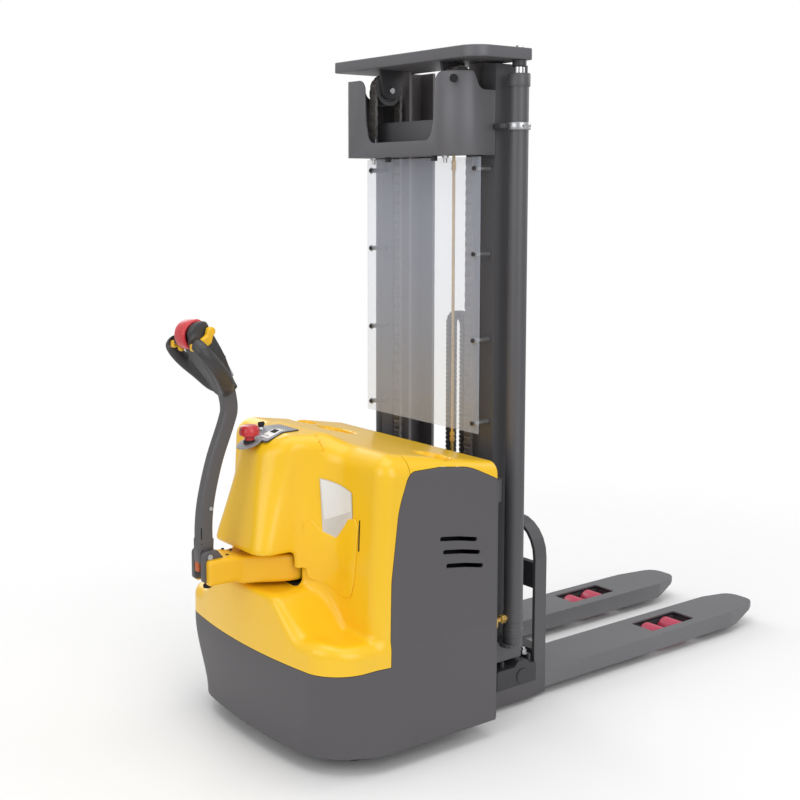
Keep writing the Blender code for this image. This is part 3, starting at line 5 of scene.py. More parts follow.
import bmesh
import bpy
import numpy as np
from mathutils import Matrix, Vector
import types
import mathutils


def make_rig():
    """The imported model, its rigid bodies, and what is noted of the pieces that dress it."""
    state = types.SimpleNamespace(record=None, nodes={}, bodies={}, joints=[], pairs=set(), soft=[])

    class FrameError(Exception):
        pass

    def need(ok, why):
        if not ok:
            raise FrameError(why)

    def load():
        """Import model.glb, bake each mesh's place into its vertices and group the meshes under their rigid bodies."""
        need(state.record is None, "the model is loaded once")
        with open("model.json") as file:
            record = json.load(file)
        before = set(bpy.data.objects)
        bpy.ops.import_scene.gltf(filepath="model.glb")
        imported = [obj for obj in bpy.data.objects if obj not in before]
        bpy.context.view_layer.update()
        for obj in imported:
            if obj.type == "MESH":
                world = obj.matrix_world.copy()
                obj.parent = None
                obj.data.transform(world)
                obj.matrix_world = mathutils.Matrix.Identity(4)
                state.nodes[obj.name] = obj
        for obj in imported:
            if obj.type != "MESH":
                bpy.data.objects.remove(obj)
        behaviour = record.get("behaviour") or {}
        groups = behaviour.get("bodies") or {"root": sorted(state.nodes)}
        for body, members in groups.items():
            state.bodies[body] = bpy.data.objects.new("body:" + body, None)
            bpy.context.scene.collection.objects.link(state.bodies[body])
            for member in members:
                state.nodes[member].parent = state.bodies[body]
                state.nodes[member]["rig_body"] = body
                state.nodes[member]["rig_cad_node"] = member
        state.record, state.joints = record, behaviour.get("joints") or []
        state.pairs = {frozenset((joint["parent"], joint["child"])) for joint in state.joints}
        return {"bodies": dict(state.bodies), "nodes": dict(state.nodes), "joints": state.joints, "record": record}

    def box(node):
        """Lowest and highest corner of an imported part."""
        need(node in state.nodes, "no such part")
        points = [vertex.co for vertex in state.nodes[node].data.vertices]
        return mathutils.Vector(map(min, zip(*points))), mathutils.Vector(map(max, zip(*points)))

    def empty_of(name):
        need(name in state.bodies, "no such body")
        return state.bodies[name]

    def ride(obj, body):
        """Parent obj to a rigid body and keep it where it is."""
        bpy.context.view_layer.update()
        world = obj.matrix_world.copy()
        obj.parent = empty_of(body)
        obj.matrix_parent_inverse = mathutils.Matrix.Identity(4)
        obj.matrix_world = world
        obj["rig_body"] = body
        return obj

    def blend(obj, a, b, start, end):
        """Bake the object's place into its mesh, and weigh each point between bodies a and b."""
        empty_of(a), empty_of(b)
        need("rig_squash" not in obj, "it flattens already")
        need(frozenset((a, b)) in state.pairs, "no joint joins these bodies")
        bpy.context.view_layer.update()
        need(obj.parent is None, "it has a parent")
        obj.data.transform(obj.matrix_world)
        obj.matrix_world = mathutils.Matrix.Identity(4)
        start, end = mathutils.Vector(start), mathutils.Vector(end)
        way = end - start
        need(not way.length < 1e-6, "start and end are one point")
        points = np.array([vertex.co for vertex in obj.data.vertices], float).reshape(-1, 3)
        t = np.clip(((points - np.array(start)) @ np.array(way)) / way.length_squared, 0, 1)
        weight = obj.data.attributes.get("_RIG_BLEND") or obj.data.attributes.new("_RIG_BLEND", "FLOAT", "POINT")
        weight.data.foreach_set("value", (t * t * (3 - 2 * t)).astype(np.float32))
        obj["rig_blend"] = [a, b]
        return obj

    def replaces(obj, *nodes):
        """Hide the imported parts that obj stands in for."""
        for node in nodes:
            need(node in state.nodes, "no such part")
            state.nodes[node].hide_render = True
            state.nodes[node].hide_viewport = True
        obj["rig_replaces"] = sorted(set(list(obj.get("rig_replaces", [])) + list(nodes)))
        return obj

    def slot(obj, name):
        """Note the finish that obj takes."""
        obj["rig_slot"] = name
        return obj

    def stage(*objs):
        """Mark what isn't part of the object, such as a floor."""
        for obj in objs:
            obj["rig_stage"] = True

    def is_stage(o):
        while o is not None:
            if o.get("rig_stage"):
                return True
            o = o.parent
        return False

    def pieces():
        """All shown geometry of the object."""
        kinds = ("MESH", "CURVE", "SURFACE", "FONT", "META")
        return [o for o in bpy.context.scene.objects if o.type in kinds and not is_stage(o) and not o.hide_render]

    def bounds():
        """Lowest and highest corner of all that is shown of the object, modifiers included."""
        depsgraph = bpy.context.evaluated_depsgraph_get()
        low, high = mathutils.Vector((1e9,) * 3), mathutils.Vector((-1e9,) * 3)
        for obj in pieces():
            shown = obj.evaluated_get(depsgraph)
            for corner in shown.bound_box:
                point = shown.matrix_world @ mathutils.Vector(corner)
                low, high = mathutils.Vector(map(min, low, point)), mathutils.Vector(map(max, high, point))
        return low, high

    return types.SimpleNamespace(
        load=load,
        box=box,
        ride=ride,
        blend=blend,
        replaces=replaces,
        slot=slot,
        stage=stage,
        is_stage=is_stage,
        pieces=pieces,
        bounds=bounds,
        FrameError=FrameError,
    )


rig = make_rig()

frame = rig.load()
CAD_LOW, CAD_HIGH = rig.bounds()
NODES = frame["nodes"]
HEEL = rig.box("load_hoop")[1].y + 0.0003     # the fork heels' plane, which local y values count from

ORIGIN = (0, -HEEL, 0)            # cancels the move that at() adds
CYL_X, CYL_Y = 0.3375, -0.195     # the right lift cylinder's axis
SHEAVE = (0.184, -0.305, 1.982)   # the right chain pulley's middle
STEER_Y = -0.85                   # the steering axis and the drive wheel
TIP_Y = -1.106                    # the pin the tiller tips on
HEAD_Y, HEAD_Z = -1.026, 1.088    # the foot of the tiller head
shift = Matrix.Translation


def at(x, y, z):
    """A point given from the fork heels' plane, in the row frame."""
    return Vector((x, y + HEEL, z))


# --- materials
def linear(red, green, blue):
    def one(value):
        value /= 255
        return value / 12.92 if value <= 0.04045 else ((value + 0.055) / 1.055) ** 2.4
    return one(red), one(green), one(blue)


def add(tree, kind, **values):
    """A new shader node with values at its inputs; an underscore stands for a space."""
    node = tree.nodes.new("ShaderNode" + kind)
    for name, value in values.items():
        node.inputs[name.replace("_", " ")].default_value = value
    return node


def material(name, colour, rough, metal=0.0, grain=220.0, bump=0.08, vary=0.05, cloud=6.0, rough_vary=0.06,
        stretch=(1, 1, 1), coat=0.0, alpha=1.0, specular=0.5, wear=0.0):
    """A surface whose colour, roughness and relief come from noise in the object's own space."""
    colour = linear(*colour)
    made = bpy.data.materials.new(name)
    made.use_nodes = True
    tree = made.node_tree
    link = tree.links.new
    shader = tree.nodes["Principled BSDF"]
    for entry, value in (("Metallic", metal), ("Coat Weight", coat), ("Coat Roughness", 0.12), ("Alpha", alpha),
            ("Specular IOR Level", specular)):
        shader.inputs[entry].default_value = value
    coords = add(tree, "TexCoord")
    mapping = add(tree, "Mapping", Scale=stretch)
    link(coords.outputs["Object"], mapping.inputs["Vector"])

    def noise(scale, detail):
        node = add(tree, "TexNoise", Scale=scale, Detail=detail)
        link(mapping.outputs["Vector"], node.inputs["Vector"])
        return node.outputs["Fac"]

    soft = noise(cloud, 4)
    fine = noise(grain, 3)
    ramp = add(tree, "ValToRGB")
    dark = [max(0.0, part * (1 - vary)) for part in colour]
    light = [min(1.0, part * (1 + vary)) for part in colour]
    ramp.color_ramp.elements[0].position = 0.3
    ramp.color_ramp.elements[1].position = 0.7
    ramp.color_ramp.elements[0].color = (*dark, 1)
    ramp.color_ramp.elements[1].color = (*light, 1)
    link(soft, ramp.inputs["Fac"])
    tint = ramp.outputs["Color"]
    if wear:
        spots = noise(grain * 0.18, 6)
        cut = add(tree, "MapRange", From_Min=0.62, From_Max=0.74, To_Max=wear)
        link(spots, cut.inputs["Value"])
        mix = add(tree, "Mix")
        mix.data_type = "RGBA"
        link(cut.outputs["Result"], mix.inputs["Factor"])
        link(tint, mix.inputs["A"])
        mix.inputs["B"].default_value = (*[min(1.0, part * 1.7 + 0.05) for part in colour], 1)
        tint = mix.outputs["Result"]
    link(tint, shader.inputs["Base Color"])
    span = add(tree, "MapRange", To_Min=max(0.02, rough - rough_vary), To_Max=min(1.0, rough + rough_vary))
    link(fine, span.inputs["Value"])
    link(span.outputs["Result"], shader.inputs["Roughness"])
    relief = add(tree, "Bump", Strength=bump, Distance=0.0006)
    link(fine, relief.inputs["Height"])
    link(relief.outputs["Normal"], shader.inputs["Normal"])
    return made


YELLOW = material("yellow_gelcoat", (246, 196, 26), 0.34, vary=0.018, cloud=2.2, grain=420, bump=0.03,
    rough_vary=0.03, coat=0.25)
YELLOW_CAST = material("yellow_cast", (243, 188, 30), 0.38, vary=0.03, cloud=9, grain=300, bump=0.06)
PANEL = material("dark_textured", (84, 82, 85), 0.52, vary=0.03, cloud=3, grain=650, bump=0.22)
MAST = material("mast_paint", (88, 87, 90), 0.44, metal=0.25, vary=0.05, cloud=5, grain=380, bump=0.12,
    stretch=(1, 1, 0.35), wear=0.05)
MAST_DARK = material("mast_paint_dark", (62, 61, 64), 0.46, metal=0.25, vary=0.06, cloud=5, grain=380, bump=0.12,
    stretch=(1, 1, 0.35), wear=0.05)
BRACKET = material("bracket_paint", (99, 98, 102), 0.45, metal=0.2, vary=0.04, cloud=6, grain=420, bump=0.14)
INNER = material("inner_rail_rolled", (122, 118, 120), 0.38, metal=0.55, vary=0.06, cloud=4, grain=300, bump=0.08,
    stretch=(4, 4, 0.12))
FORK = material("fork_paint", (112, 112, 115), 0.46, metal=0.2, vary=0.05, cloud=5, grain=420, bump=0.12, wear=0.1)
HOSE_BLACK = material("moulded_black", (34, 34, 36), 0.55, vary=0.1, cloud=20, grain=900, bump=0.25)
GRIP = material("grip_plastic", (58, 57, 59), 0.42, vary=0.06, cloud=12, grain=1100, bump=0.16)
ARM = material("tiller_paint", (92, 90, 92), 0.42, metal=0.15, vary=0.04, cloud=7, grain=600, bump=0.12)
KEYPAD = material("keypad_film", (176, 178, 190), 0.3, vary=0.03, cloud=20, grain=500, bump=0.05)
GREY = material("grey_plastic", (140, 142, 146), 0.45, vary=0.05, cloud=18, grain=800, bump=0.15)
WHITE = material("white_film", (226, 226, 224), 0.35, vary=0.03, cloud=18, grain=600, bump=0.05)
PAPER = material("blank_paper", (206, 203, 198), 0.62, vary=0.05, cloud=24, grain=900, bump=0.2)
RED = material("red_cap", (205, 52, 58), 0.32, vary=0.05, cloud=16, grain=600, bump=0.06, coat=0.3)
ORANGE = material("amber_block", (186, 92, 44), 0.45, vary=0.08, cloud=20, grain=500, bump=0.1)
STEEL = material("ground_steel", (196, 197, 200), 0.22, metal=0.95, vary=0.04, cloud=8, grain=260, bump=0.04,
    stretch=(6, 6, 0.4))
ZINC = material("zinc_plated", (186, 187, 190), 0.3, metal=0.9, vary=0.08, cloud=30, grain=500, bump=0.08)
CHAIN = material("oiled_chain", (128, 124, 122), 0.36, metal=0.55, vary=0.14, cloud=40, grain=500, bump=0.1)
PIN = material("chain_pin", (216, 214, 210), 0.25, metal=0.6, vary=0.08, cloud=60, grain=500, bump=0.05)
BRASS = material("passivated_brass", (214, 176, 96), 0.28, metal=0.65, vary=0.08, cloud=26, grain=400, bump=0.08)
ROLLER = material("polyurethane_red", (196, 62, 92), 0.36, vary=0.06, cloud=14, grain=500, bump=0.1, coat=0.15)
TYRE = material("rubber_black", (40, 40, 42), 0.68, vary=0.12, cloud=16, grain=700, bump=0.3)
SHADOW = material("shadow_black", (18, 17, 18), 0.8, vary=0.1, cloud=20, grain=500, bump=0.1)
CLEAR = material("clear_guard", (218, 224, 238), 0.3, vary=0.02, cloud=3, grain=60, bump=0.01, rough_vary=0.02,
    alpha=0.24, specular=0.2)
CLEAR.surface_render_method = "BLENDED"

NODE_LOOKS = {PANEL: ["rear_bulkhead", "chassis_frame", "leg_left", "leg_right"], MAST_DARK: ["mast_bearing_left",
    "mast_bearing_right", "mast_foot", "carriage_frame", "bogie_left", "bogie_right", "drive_unit",
    "caster_fork_left", "caster_fork_right", "inner_crossbeam"], MAST: ["outer_rail_left", "outer_rail_right",
    "load_hoop"], INNER: ["inner_rail_left", "inner_rail_right"], FORK: ["fork_left", "fork_right"],
    HOSE_BLACK: ["battery", "motor_controller"], GREY: ["hydraulic_unit", "lift_rocker"], CLEAR: ["guard_panel"],}


def paint(item, look):
    item.data.materials.clear()
    item.data.materials.append(look)


def soften_node(item):
    step = item.modifiers.new("edge", "BEVEL")
    step.width = 0.0012
    step.segments = 2
    step.limit_method = "ANGLE"
    step.angle_limit = radians(50)


for look, names in NODE_LOOKS.items():
    for node_name in names:
        node = NODES[node_name]
        paint(node, look)
        for face in node.data.polygons:
            face.material_index = 0
        if look is not CLEAR and node_name not in ("battery", "motor_controller", "hydraulic_unit"):
            soften_node(node)


# --- mesh helpers
def linked(name, data):
    made = bpy.data.objects.new(name, data)
    bpy.context.scene.collection.objects.link(made)
    return made


def new_object(name, mesh, look):
    item = linked(name, mesh)
    paint(item, look)
    return item


def baked(item):
    """Puts what the modifiers make in place of the mesh and drops them."""
    bpy.context.view_layer.update()
    graph = bpy.context.evaluated_depsgraph_get()
    mesh = bpy.data.meshes.new_from_object(item.evaluated_get(graph))
    item.modifiers.clear()
    item.data = mesh


def shade(item, angle=35):
    item.data.shade_smooth()
    item.data.set_sharp_from_angle(angle=radians(angle))
    return item


def place(item, body, slot=None, replaces=()):
    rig.ride(item, body)
    if slot:
        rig.slot(item, slot)
    if replaces:
        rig.replaces(item, *replaces)


def to_object(name, bm, look, angle=35):
    mesh = bpy.data.meshes.new(name)
    bm.normal_update()
    bm.to_mesh(mesh)
    bm.free()
    return shade(new_object(name, mesh, look), angle)


def join(name, items):
    """One object from several; each keeps its own material."""
    bm = bmesh.new()
    looks = []
    for item in items:
        look = item.data.materials[0]
        if look not in looks:
            looks.append(look)
        copy = item.data.copy()
        copy.transform(item.matrix_world)
        start = len(bm.faces)
        bm.from_mesh(copy)
        bm.faces.ensure_lookup_table()
        for face in bm.faces[start:]:
            face.material_index = looks.index(look)
        bpy.data.meshes.remove(copy)
        bpy.data.objects.remove(item, do_unlink=True)
    mesh = bpy.data.meshes.new(name)
    bm.to_mesh(mesh)
    bm.free()
    made = linked(name, mesh)
    for look in looks:
        mesh.materials.append(look)
    return shade(made)


def arc_corners(corners, steps=8):
    """Polygon corners (a, b, radius) with their corners rounded by arcs."""
    points = []
    count = len(corners)
    for index, (a, b, radius) in enumerate(corners):
        here = Vector((a, b))
        if not radius:
            points.append(here)
            continue
        before = (Vector(corners[index - 1][:2]) - here).normalized()
        after = (Vector(corners[(index + 1) % count][:2]) - here).normalized()
        half = before.angle(after) / 2
        centre = here + (before + after).normalized() * (radius / sin(half))
        reach = radius / (sin(half) / cos(half))
        first, last = here + before * reach - centre, here + after * reach - centre
        sweep = first.angle(last)
        for step in range(steps + 1):
            share = step / steps
            points.append(centre + (first * sin((1 - share) * sweep) + last * sin(share * sweep)) / sin(sweep))
    return points


AXES = {"XY": lambda a, b, c: (a, b, c), "YZ": lambda a, b, c: (c, a, b), "XZ": lambda a, b, c: (a, c, b)}


def slab(name, corners, low, high, plane, look, bevel=0.0, segments=2, steps=8):
    """A flat outline with thickness and softened rims; corners count from the heel plane."""
    bm = bmesh.new()
    turn = AXES[plane]
    ring = [bm.verts.new(at(*turn(p[0], p[1], low))) for p in arc_corners(corners, steps)]
    for one, two in zip(ring, ring[1:] + ring[:1]):
        bm.edges.new((one, two))
    bm.faces.new(ring)
    grown = bmesh.ops.extrude_face_region(bm, geom=list(bm.faces))
    bmesh.ops.translate(bm, vec=Vector(turn(0, 0, high - low)), verts=[v for v in grown["geom"]
        if isinstance(v, bmesh.types.BMVert)])
    bmesh.ops.recalc_face_normals(bm, faces=bm.faces)
    if bevel:
        rims = [e for e in bm.edges if len(e.link_faces) == 2 and e.calc_face_angle(0) > radians(40)]
        bmesh.ops.bevel(bm, geom=rims, offset=bevel, segments=segments, profile=0.5, affect="EDGES",
            clamp_overlap=True)
    return to_object(name, bm, look, 40)


def block(name, low, high, look, bevel=0.002, segments=2):
    bm = bmesh.new()
    bmesh.ops.create_cube(bm, size=1)
    low, high = at(*low), at(*high)
    bmesh.ops.scale(bm, vec=high - low, verts=bm.verts)
    bmesh.ops.translate(bm, vec=(low + high) / 2, verts=bm.verts)
    if bevel:
        bmesh.ops.bevel(bm, geom=list(bm.edges), offset=bevel, segments=segments, profile=0.5, affect="EDGES",
            clamp_overlap=True)
    return to_object(name, bm, look, 40)


TURNS = {"Z": Matrix.Identity(4), "X": Matrix.Rotation(pi / 2, 4, "Y"), "Y": Matrix.Rotation(-pi / 2, 4, "X")}


def lathe(name, profile, centre, axis, look, sides=48, angle=35):
    """A (radius, height) profile turned about an axis through centre."""
    bm = bmesh.new()
    rows = []
    for radius, height in profile:
        if radius < 1e-6:
            rows.append([bm.verts.new((0, 0, height))])
        else:
            rows.append([bm.verts.new((radius * cos(2 * pi * k / sides), radius * sin(2 * pi * k / sides), height))
                for k in range(sides)])
    for one, two in zip(rows, rows[1:]):
        for k in range(sides):
            n = (k + 1) % sides
            corners = [one[k % len(one)], one[n % len(one)], two[n % len(two)], two[k % len(two)]]
            unique = []
            for corner in corners:
                if corner not in unique:
                    unique.append(corner)
            if len(unique) > 2:
                bm.faces.new(unique)
    for row in (rows[0], rows[-1]):
        if len(row) > 1 and profile[0] != profile[-1]:
            bm.faces.new(row)
    bmesh.ops.remove_doubles(bm, verts=bm.verts, dist=0.00001)
    bmesh.ops.recalc_face_normals(bm, faces=bm.faces)
    bmesh.ops.transform(bm, matrix=shift(at(*centre)) @ TURNS[axis], verts=bm.verts)
    return to_object(name, bm, look, angle)


def mirrored(*half):
    """A whole profile from its half below the middle; one that stays off the axis closes on itself."""
    whole = half + tuple((radius, -height) for radius, height in reversed(half))
    return whole + half[:1] if half[0][0] else whole


def rod(name, radius, start, end, look, sides=20, chamfer=0.0):
    """A round bar between two points."""
    start, end = at(*start), at(*end)
    length = (end - start).length
    chamfer = chamfer or radius * 0.12
    profile = ((0, 0), (radius - chamfer, 0), (radius, chamfer), (radius, length - chamfer),
        (radius - chamfer, length), (0, length))
    item = lathe(name, profile, ORIGIN, "Z", look, sides)
    turn = (end - start).to_track_quat("Z", "Y").to_matrix().to_4x4()
    item.data.transform(shift(start) @ turn)
    return item


def hexagon(name, radius, start, end, look):
    return rod(name, radius, start, end, look, sides=6, chamfer=radius * 0.1)


def post(make, name, radius, x, y, low, high, look, **more):
    """A rod or hexagon that stands between two heights."""
    return make(name, radius, (x, y, low), (x, y, high), look, **more)


def mirror_x(item, name):
    mesh = item.data.copy()
    mesh.transform(Matrix.Scale(-1, 4, (1, 0, 0)))
    mesh.flip_normals()
    return linked(name, mesh)


def pair(make, body, slot=None, replaces=()):
    """make(name suffix) gives the +X piece; its mirror image goes on the other side's body."""
    right = make("_right")
    left = mirror_x(right, right.name.replace("_right", "_left"))
    for item, side in ((right, "right"), (left, "left")):
        place(item, body.replace("SIDE", side), slot, [node.replace("SIDE", side) for node in replaces])


# --- smooth solids
def joined(a, b, r):
    return np.maximum(r, np.minimum(a, b)) - np.hypot(np.maximum(r - a, 0), np.maximum(r - b, 0))


def common(a, b, r):
    return np.minimum(-r, np.maximum(a, b)) + np.hypot(np.maximum(r + a, 0), np.maximum(r + b, 0))


def carved(a, b, r):
    return common(a, -b, r)


def ease(low, high, value):
    t = np.clip((value - low) / (high - low), 0, 1)
    return t * t * (3 - 2 * t)


def surface(name, shape, low, high, step, look, pull=3):
    """The closed surface where shape(x, y, z) is zero, meshed cell by cell and drawn onto it."""
    ends = [(a + 1.5 * step, b - 1.5 * step) for a, b in zip(low, high)]

    def form(x, y, z):
        value = shape(x, y, z)
        for part, (first, last) in zip((x, y, z), ends):
            value = np.maximum(value, np.maximum(first - part, part - last))
        return value

    counts = [int(np.ceil((b - a) / step)) + 1 for a, b in zip(low, high)]
    axes = [a + step * np.arange(n) for a, n in zip(low, counts)]
    x, y, z = np.meshgrid(*axes, indexing="ij")
    value = form(x, y, z)
    inside = value < 0
    cells = np.zeros([n - 1 for n in counts], int)
    corner = [(i, j, k) for i in (0, 1) for j in (0, 1) for k in (0, 1)]

    def shifted(data, offset):
        return data[tuple(slice(o, o + n - 1) for o, n in zip(offset, counts))]

    for offset in corner:
        cells += shifted(inside, offset)
    mixed = (cells > 0) & (cells < 8)
    total = np.zeros(mixed.shape + (3,))
    number = np.zeros(mixed.shape)
    for axis in range(3):
        for offset in corner:
            if offset[axis]:
                continue
            far = list(offset)
            far[axis] = 1
            a, b = shifted(value, offset), shifted(value, tuple(far))
            crossing = (a < 0) != (b < 0)
            share = np.where(crossing, a / np.where(crossing, a - b, 1), 0)
            spot = np.array(offset, float)
            for k in range(3):
                total[..., k] += crossing * (share if k == axis else spot[k])
            number += crossing
    index = np.full(mixed.shape, -1)
    index[mixed] = np.arange(mixed.sum())
    where = np.argwhere(mixed)
    points = np.array(low) + step * (where + total[mixed] / number[mixed][:, None])
    quads = []
    for axis in range(3):
        u, v = [k for k in range(3) if k != axis]
        first = [slice(1, n - 1) for n in counts]
        first[axis] = slice(0, counts[axis] - 1)
        second = list(first)
        second[axis] = slice(1, counts[axis])
        a, b = inside[tuple(first)], inside[tuple(second)]
        spots = np.argwhere(a != b)
        spots[:, u] += 1
        spots[:, v] += 1
        flip = b[tuple((spots - [0 if k == axis else 1 for k in range(3)]).T)]
        ring = []
        for du, dv in ((-1, -1), (0, -1), (0, 0), (-1, 0)):
            cell = spots.copy()
            cell[:, u] += du
            cell[:, v] += dv
            ring.append(index[tuple(cell.T)])
        ring = np.stack(ring, 1)
        if axis == 1:
            flip = ~flip
        ring[flip] = ring[flip][:, ::-1]
        quads.append(ring)
    quads = np.concatenate(quads)
    tiny = 0.0004
    for _ in range(pull):
        px, py, pz = points.T
        here = form(px, py, pz)
        slope = np.stack([(form(px + tiny, py, pz) - form(px - tiny, py, pz)),
            (form(px, py + tiny, pz) - form(px, py - tiny, pz)), (form(px, py, pz + tiny) - form(px, py, pz - tiny))],
            1) / (2 * tiny)
        size = np.maximum((slope ** 2).sum(1), 0.05)
        move = -here[:, None] * slope / size[:, None]
        reach = np.linalg.norm(move, axis=1, keepdims=True)
        points = points + move * np.minimum(1, step / np.maximum(reach, 1e-9))
    mesh = bpy.data.meshes.new(name)
    points = points + np.array((0, HEEL, 0))
    mesh.from_pydata(points.tolist(), [], quads.tolist())
    mesh.update()
    return shade(new_object(name, mesh, look), 50)


def boolean(base, tool, operation):
    """Cuts base by tool or keeps what they share, and deletes tool."""
    step = base.modifiers.new("b", "BOOLEAN")
    step.operation = operation
    step.object = tool
    step.solver = "MANIFOLD"
    baked(base)
    bpy.data.objects.remove(tool, do_unlink=True)


def copy_of(item, name):
    return linked(name, item.data.copy())


# --- body panels
HALF, REAR, LOW, SHELF = 0.4238, -0.345, 0.055, 0.39
SEAM, RIM = -0.675, 0.312
LEAN = 0.056
NOSE = 0.14


def hood_top(y):
    return 0.925 - 0.173 * (np.maximum(y, -0.795) + 0.767)


def nose_top(y):
    slope = 0.945 - 0.379 * np.maximum(0, -0.868 - y)
    return np.minimum(0.945, slope)


def top_height(x, y):
    """The hood's top, which rises to the nose in the middle."""
    middle = ease(0.235, 0.12, np.abs(x)) * ease(-0.69, -0.775, y)
    return hood_top(y) * (1 - middle) + nose_top(y) * middle


def wall_line(z):
    return -0.795 + LEAN * (z - 0.39)


def upper_walls(x, y, z):
    side = np.abs(x) - HALF
    front = (wall_line(z) - y) * 0.998
    hood = common(side, front, 0.052)
    flare = -1.002 + 0.06 * ease(0.56, 0.97, z) - 0.006 * ease(0.7, 0.6, z)
    flare = np.where(z < 0.5535, -0.862, flare)
    taper = 0.045 * ease(-0.8, -1.0, y) * np.clip((z - 0.6) / 0.33, 0, 1)
    width = NOSE + 0.006 * ease(0.8, 0.6, z) - taper
    nose = common((np.abs(x) - width) * 0.97, (flare - y) * 0.99, 0.05 + 0.025 * ease(0.62, 0.9, z))
    return joined(hood, nose, 0.112)


def tray(x, y, z):
    flare = -0.986 + 0.019 * ease(0.29, 0.055, z)
    front = flare + np.abs(x) ** 2 / 3.9
    corner = 0.105 + 0.065 * ease(0.3, 0.055, z)
    edge = common(np.abs(x) - HALF + 0.006 * ease(0.2, 0.055, z), (front - y) * 0.98, corner)
    rise = ease(0.29, 0.145, np.abs(x))
    top = SHELF + 0.01 * ease(-0.86, -0.94, y) * (1 - rise) + (0.5 - SHELF) * rise
    return common(edge, (z - top) * (0.98 - 0.22 * rise * (1 - rise) * 4), 0.036 - 0.016 * rise)


def slot_room(x, y, z):
    high = np.abs(z - 0.5535) - 0.0535
    across = np.minimum(y + 0.88, np.maximum(np.abs(x) - 0.131, y + 0.712))
    return common(high, across, 0.02)


def oval(x, y, z, middle, half, depth):
    edge = (np.hypot((x - middle[0]) / half[0], (y - middle[1]) / half[1]) - 1) * min(half)
    return common(edge, hood_top(y) - depth - z, 0.004)


def lid_ovals(x, y, z):
    ovals = (((-0.345, -0.53), (0.062, 0.04), 0.013), ((-0.165, -0.52), (0.088, 0.046), 0.013),
        ((0.335, -0.525), (0.07, 0.044), 0.013))
    return np.minimum.reduce([oval(x, y, z, *row) for row in ovals])


def body_form(x, y, z):
    upper = upper_walls(x, y, z)
    side_round = 0.036 + 0.03 * ease(-0.5, -0.74, y)
    upper = common(upper, (z - top_height(x, y)) * 0.985, np.where(y < -0.8, 0.038, side_round))
    whole = joined(tray(x, y, z), upper, 0.018)
    whole = carved(whole, slot_room(x, y, z), 0.011)
    return carved(whole, lid_ovals(x, y, z), 0.003)


def dark_outline(grow):
    return ((-0.2, -0.2, 0), (-0.2, 0.715 + grow, 0), (-0.345, 0.802 + grow, 0.1), (-0.45, 0.851 + grow, 0.2),
        (-0.56, 0.8655 + grow, 0.12), (-0.677 - grow, 0.8655 + grow, 0.036), (-0.715 - grow, 0.765, 0.3),
        (-0.74 - grow, 0.56, 0.3), (-0.745 - grow, RIM + grow, 0.0), (-1.2, RIM + grow, 0), (-1.2, -0.2, 0))


def cutter(name, corners, low, high, plane):
    return slab(name, corners, low, high, plane, SHADOW, steps=6)


def make_body():
    outer = surface("body_outer", body_form, (-0.44, -1.05, 0.02), (0.44, -0.3, 0.965), 0.0075, YELLOW)
    inner = surface("body_inner", lambda x, y, z: body_form(x, y, z) + 0.006, (-0.46, -1.06, -0.06),
        (0.46, -0.24, 0.98), 0.015, YELLOW, pull=2)
    keep = block("keep", (-1, -2, LOW), (1, REAR, 2), YELLOW, bevel=0)
    boolean(outer, keep, "INTERSECT")
    boolean(outer, inner, "DIFFERENCE")
    boolean(outer, lathe("column", ((0, 0), (0.046, 0), (0.046, 0.06), (0, 0.06)), (0, STEER_Y, 0.47), "Z", SHADOW),
        "DIFFERENCE")
    skirt = copy_of(outer, "side_skirt_skin")
    sides = []
    for grow, suffix in ((0, "dark"), (0.0018, "gap")):
        side = cutter("side_" + suffix, dark_outline(grow), -0.6, 0.6, "YZ")
        middle = block("middle", (-0.36, -1.3, RIM + grow), (0.36, 0, 1), SHADOW, bevel=0)
        boolean(side, middle, "DIFFERENCE")
        sides.append(side)
    boolean(skirt, sides[0], "INTERSECT")
    for middle_y, middle_z in ((-0.494, 0.644), (-0.482, 0.603), (-0.47, 0.56)):
        half, tall = 0.0715, 0.0068
        corners = [(middle_y - half, middle_z - tall - 0.003, tall * 0.98), (middle_y, middle_z - tall + 0.001, 0),
            (middle_y + half, middle_z - tall, tall * 0.98), (middle_y + half, middle_z + tall, tall * 0.98),
            (middle_y, middle_z + tall + 0.001, 0), (middle_y - half, middle_z + tall - 0.003, tall * 0.98)]
        corners = [(y, z - 0.19 * (y - middle_y), r) for y, z, r in corners]
        boolean(skirt, cutter("louvre", corners, -0.6, 0.6, "YZ"), "DIFFERENCE")
    boolean(outer, sides[1], "DIFFERENCE")
    lid = copy_of(outer, "battery_lid_skin")
    boolean(lid, block("lid_room", (-1, SEAM + 0.0011, 0.5), (1, 0, 2), YELLOW, bevel=0), "INTERSECT")
    boolean(outer, block("cowl_room", (-1, -2, 0), (1, SEAM - 0.0011, 2), YELLOW, bevel=0), "INTERSECT")
    outer.name = "front_cowl_skin"
    for item, look in ((skirt, PANEL), (lid, YELLOW), (outer, YELLOW)):
        paint(item, look)
        shade(item, 38)
    outer.data.materials.append(SHADOW)
    for face in outer.data.polygons:
        x, y, z = face.center.x, face.center.y - HEEL, face.center.z
        if abs(x) < 0.1325 and -0.872 < y < -0.7 and 0.4985 < z < 0.609:
            face.material_index = 1
    place(skirt, "chassis", "body_grey", ["side_skirt"])
    place(outer, "chassis", "yellow_paint", ["front_cowl"])
    place(lid, "battery_lid", "yellow_paint", ["battery_lid"])


make_body()


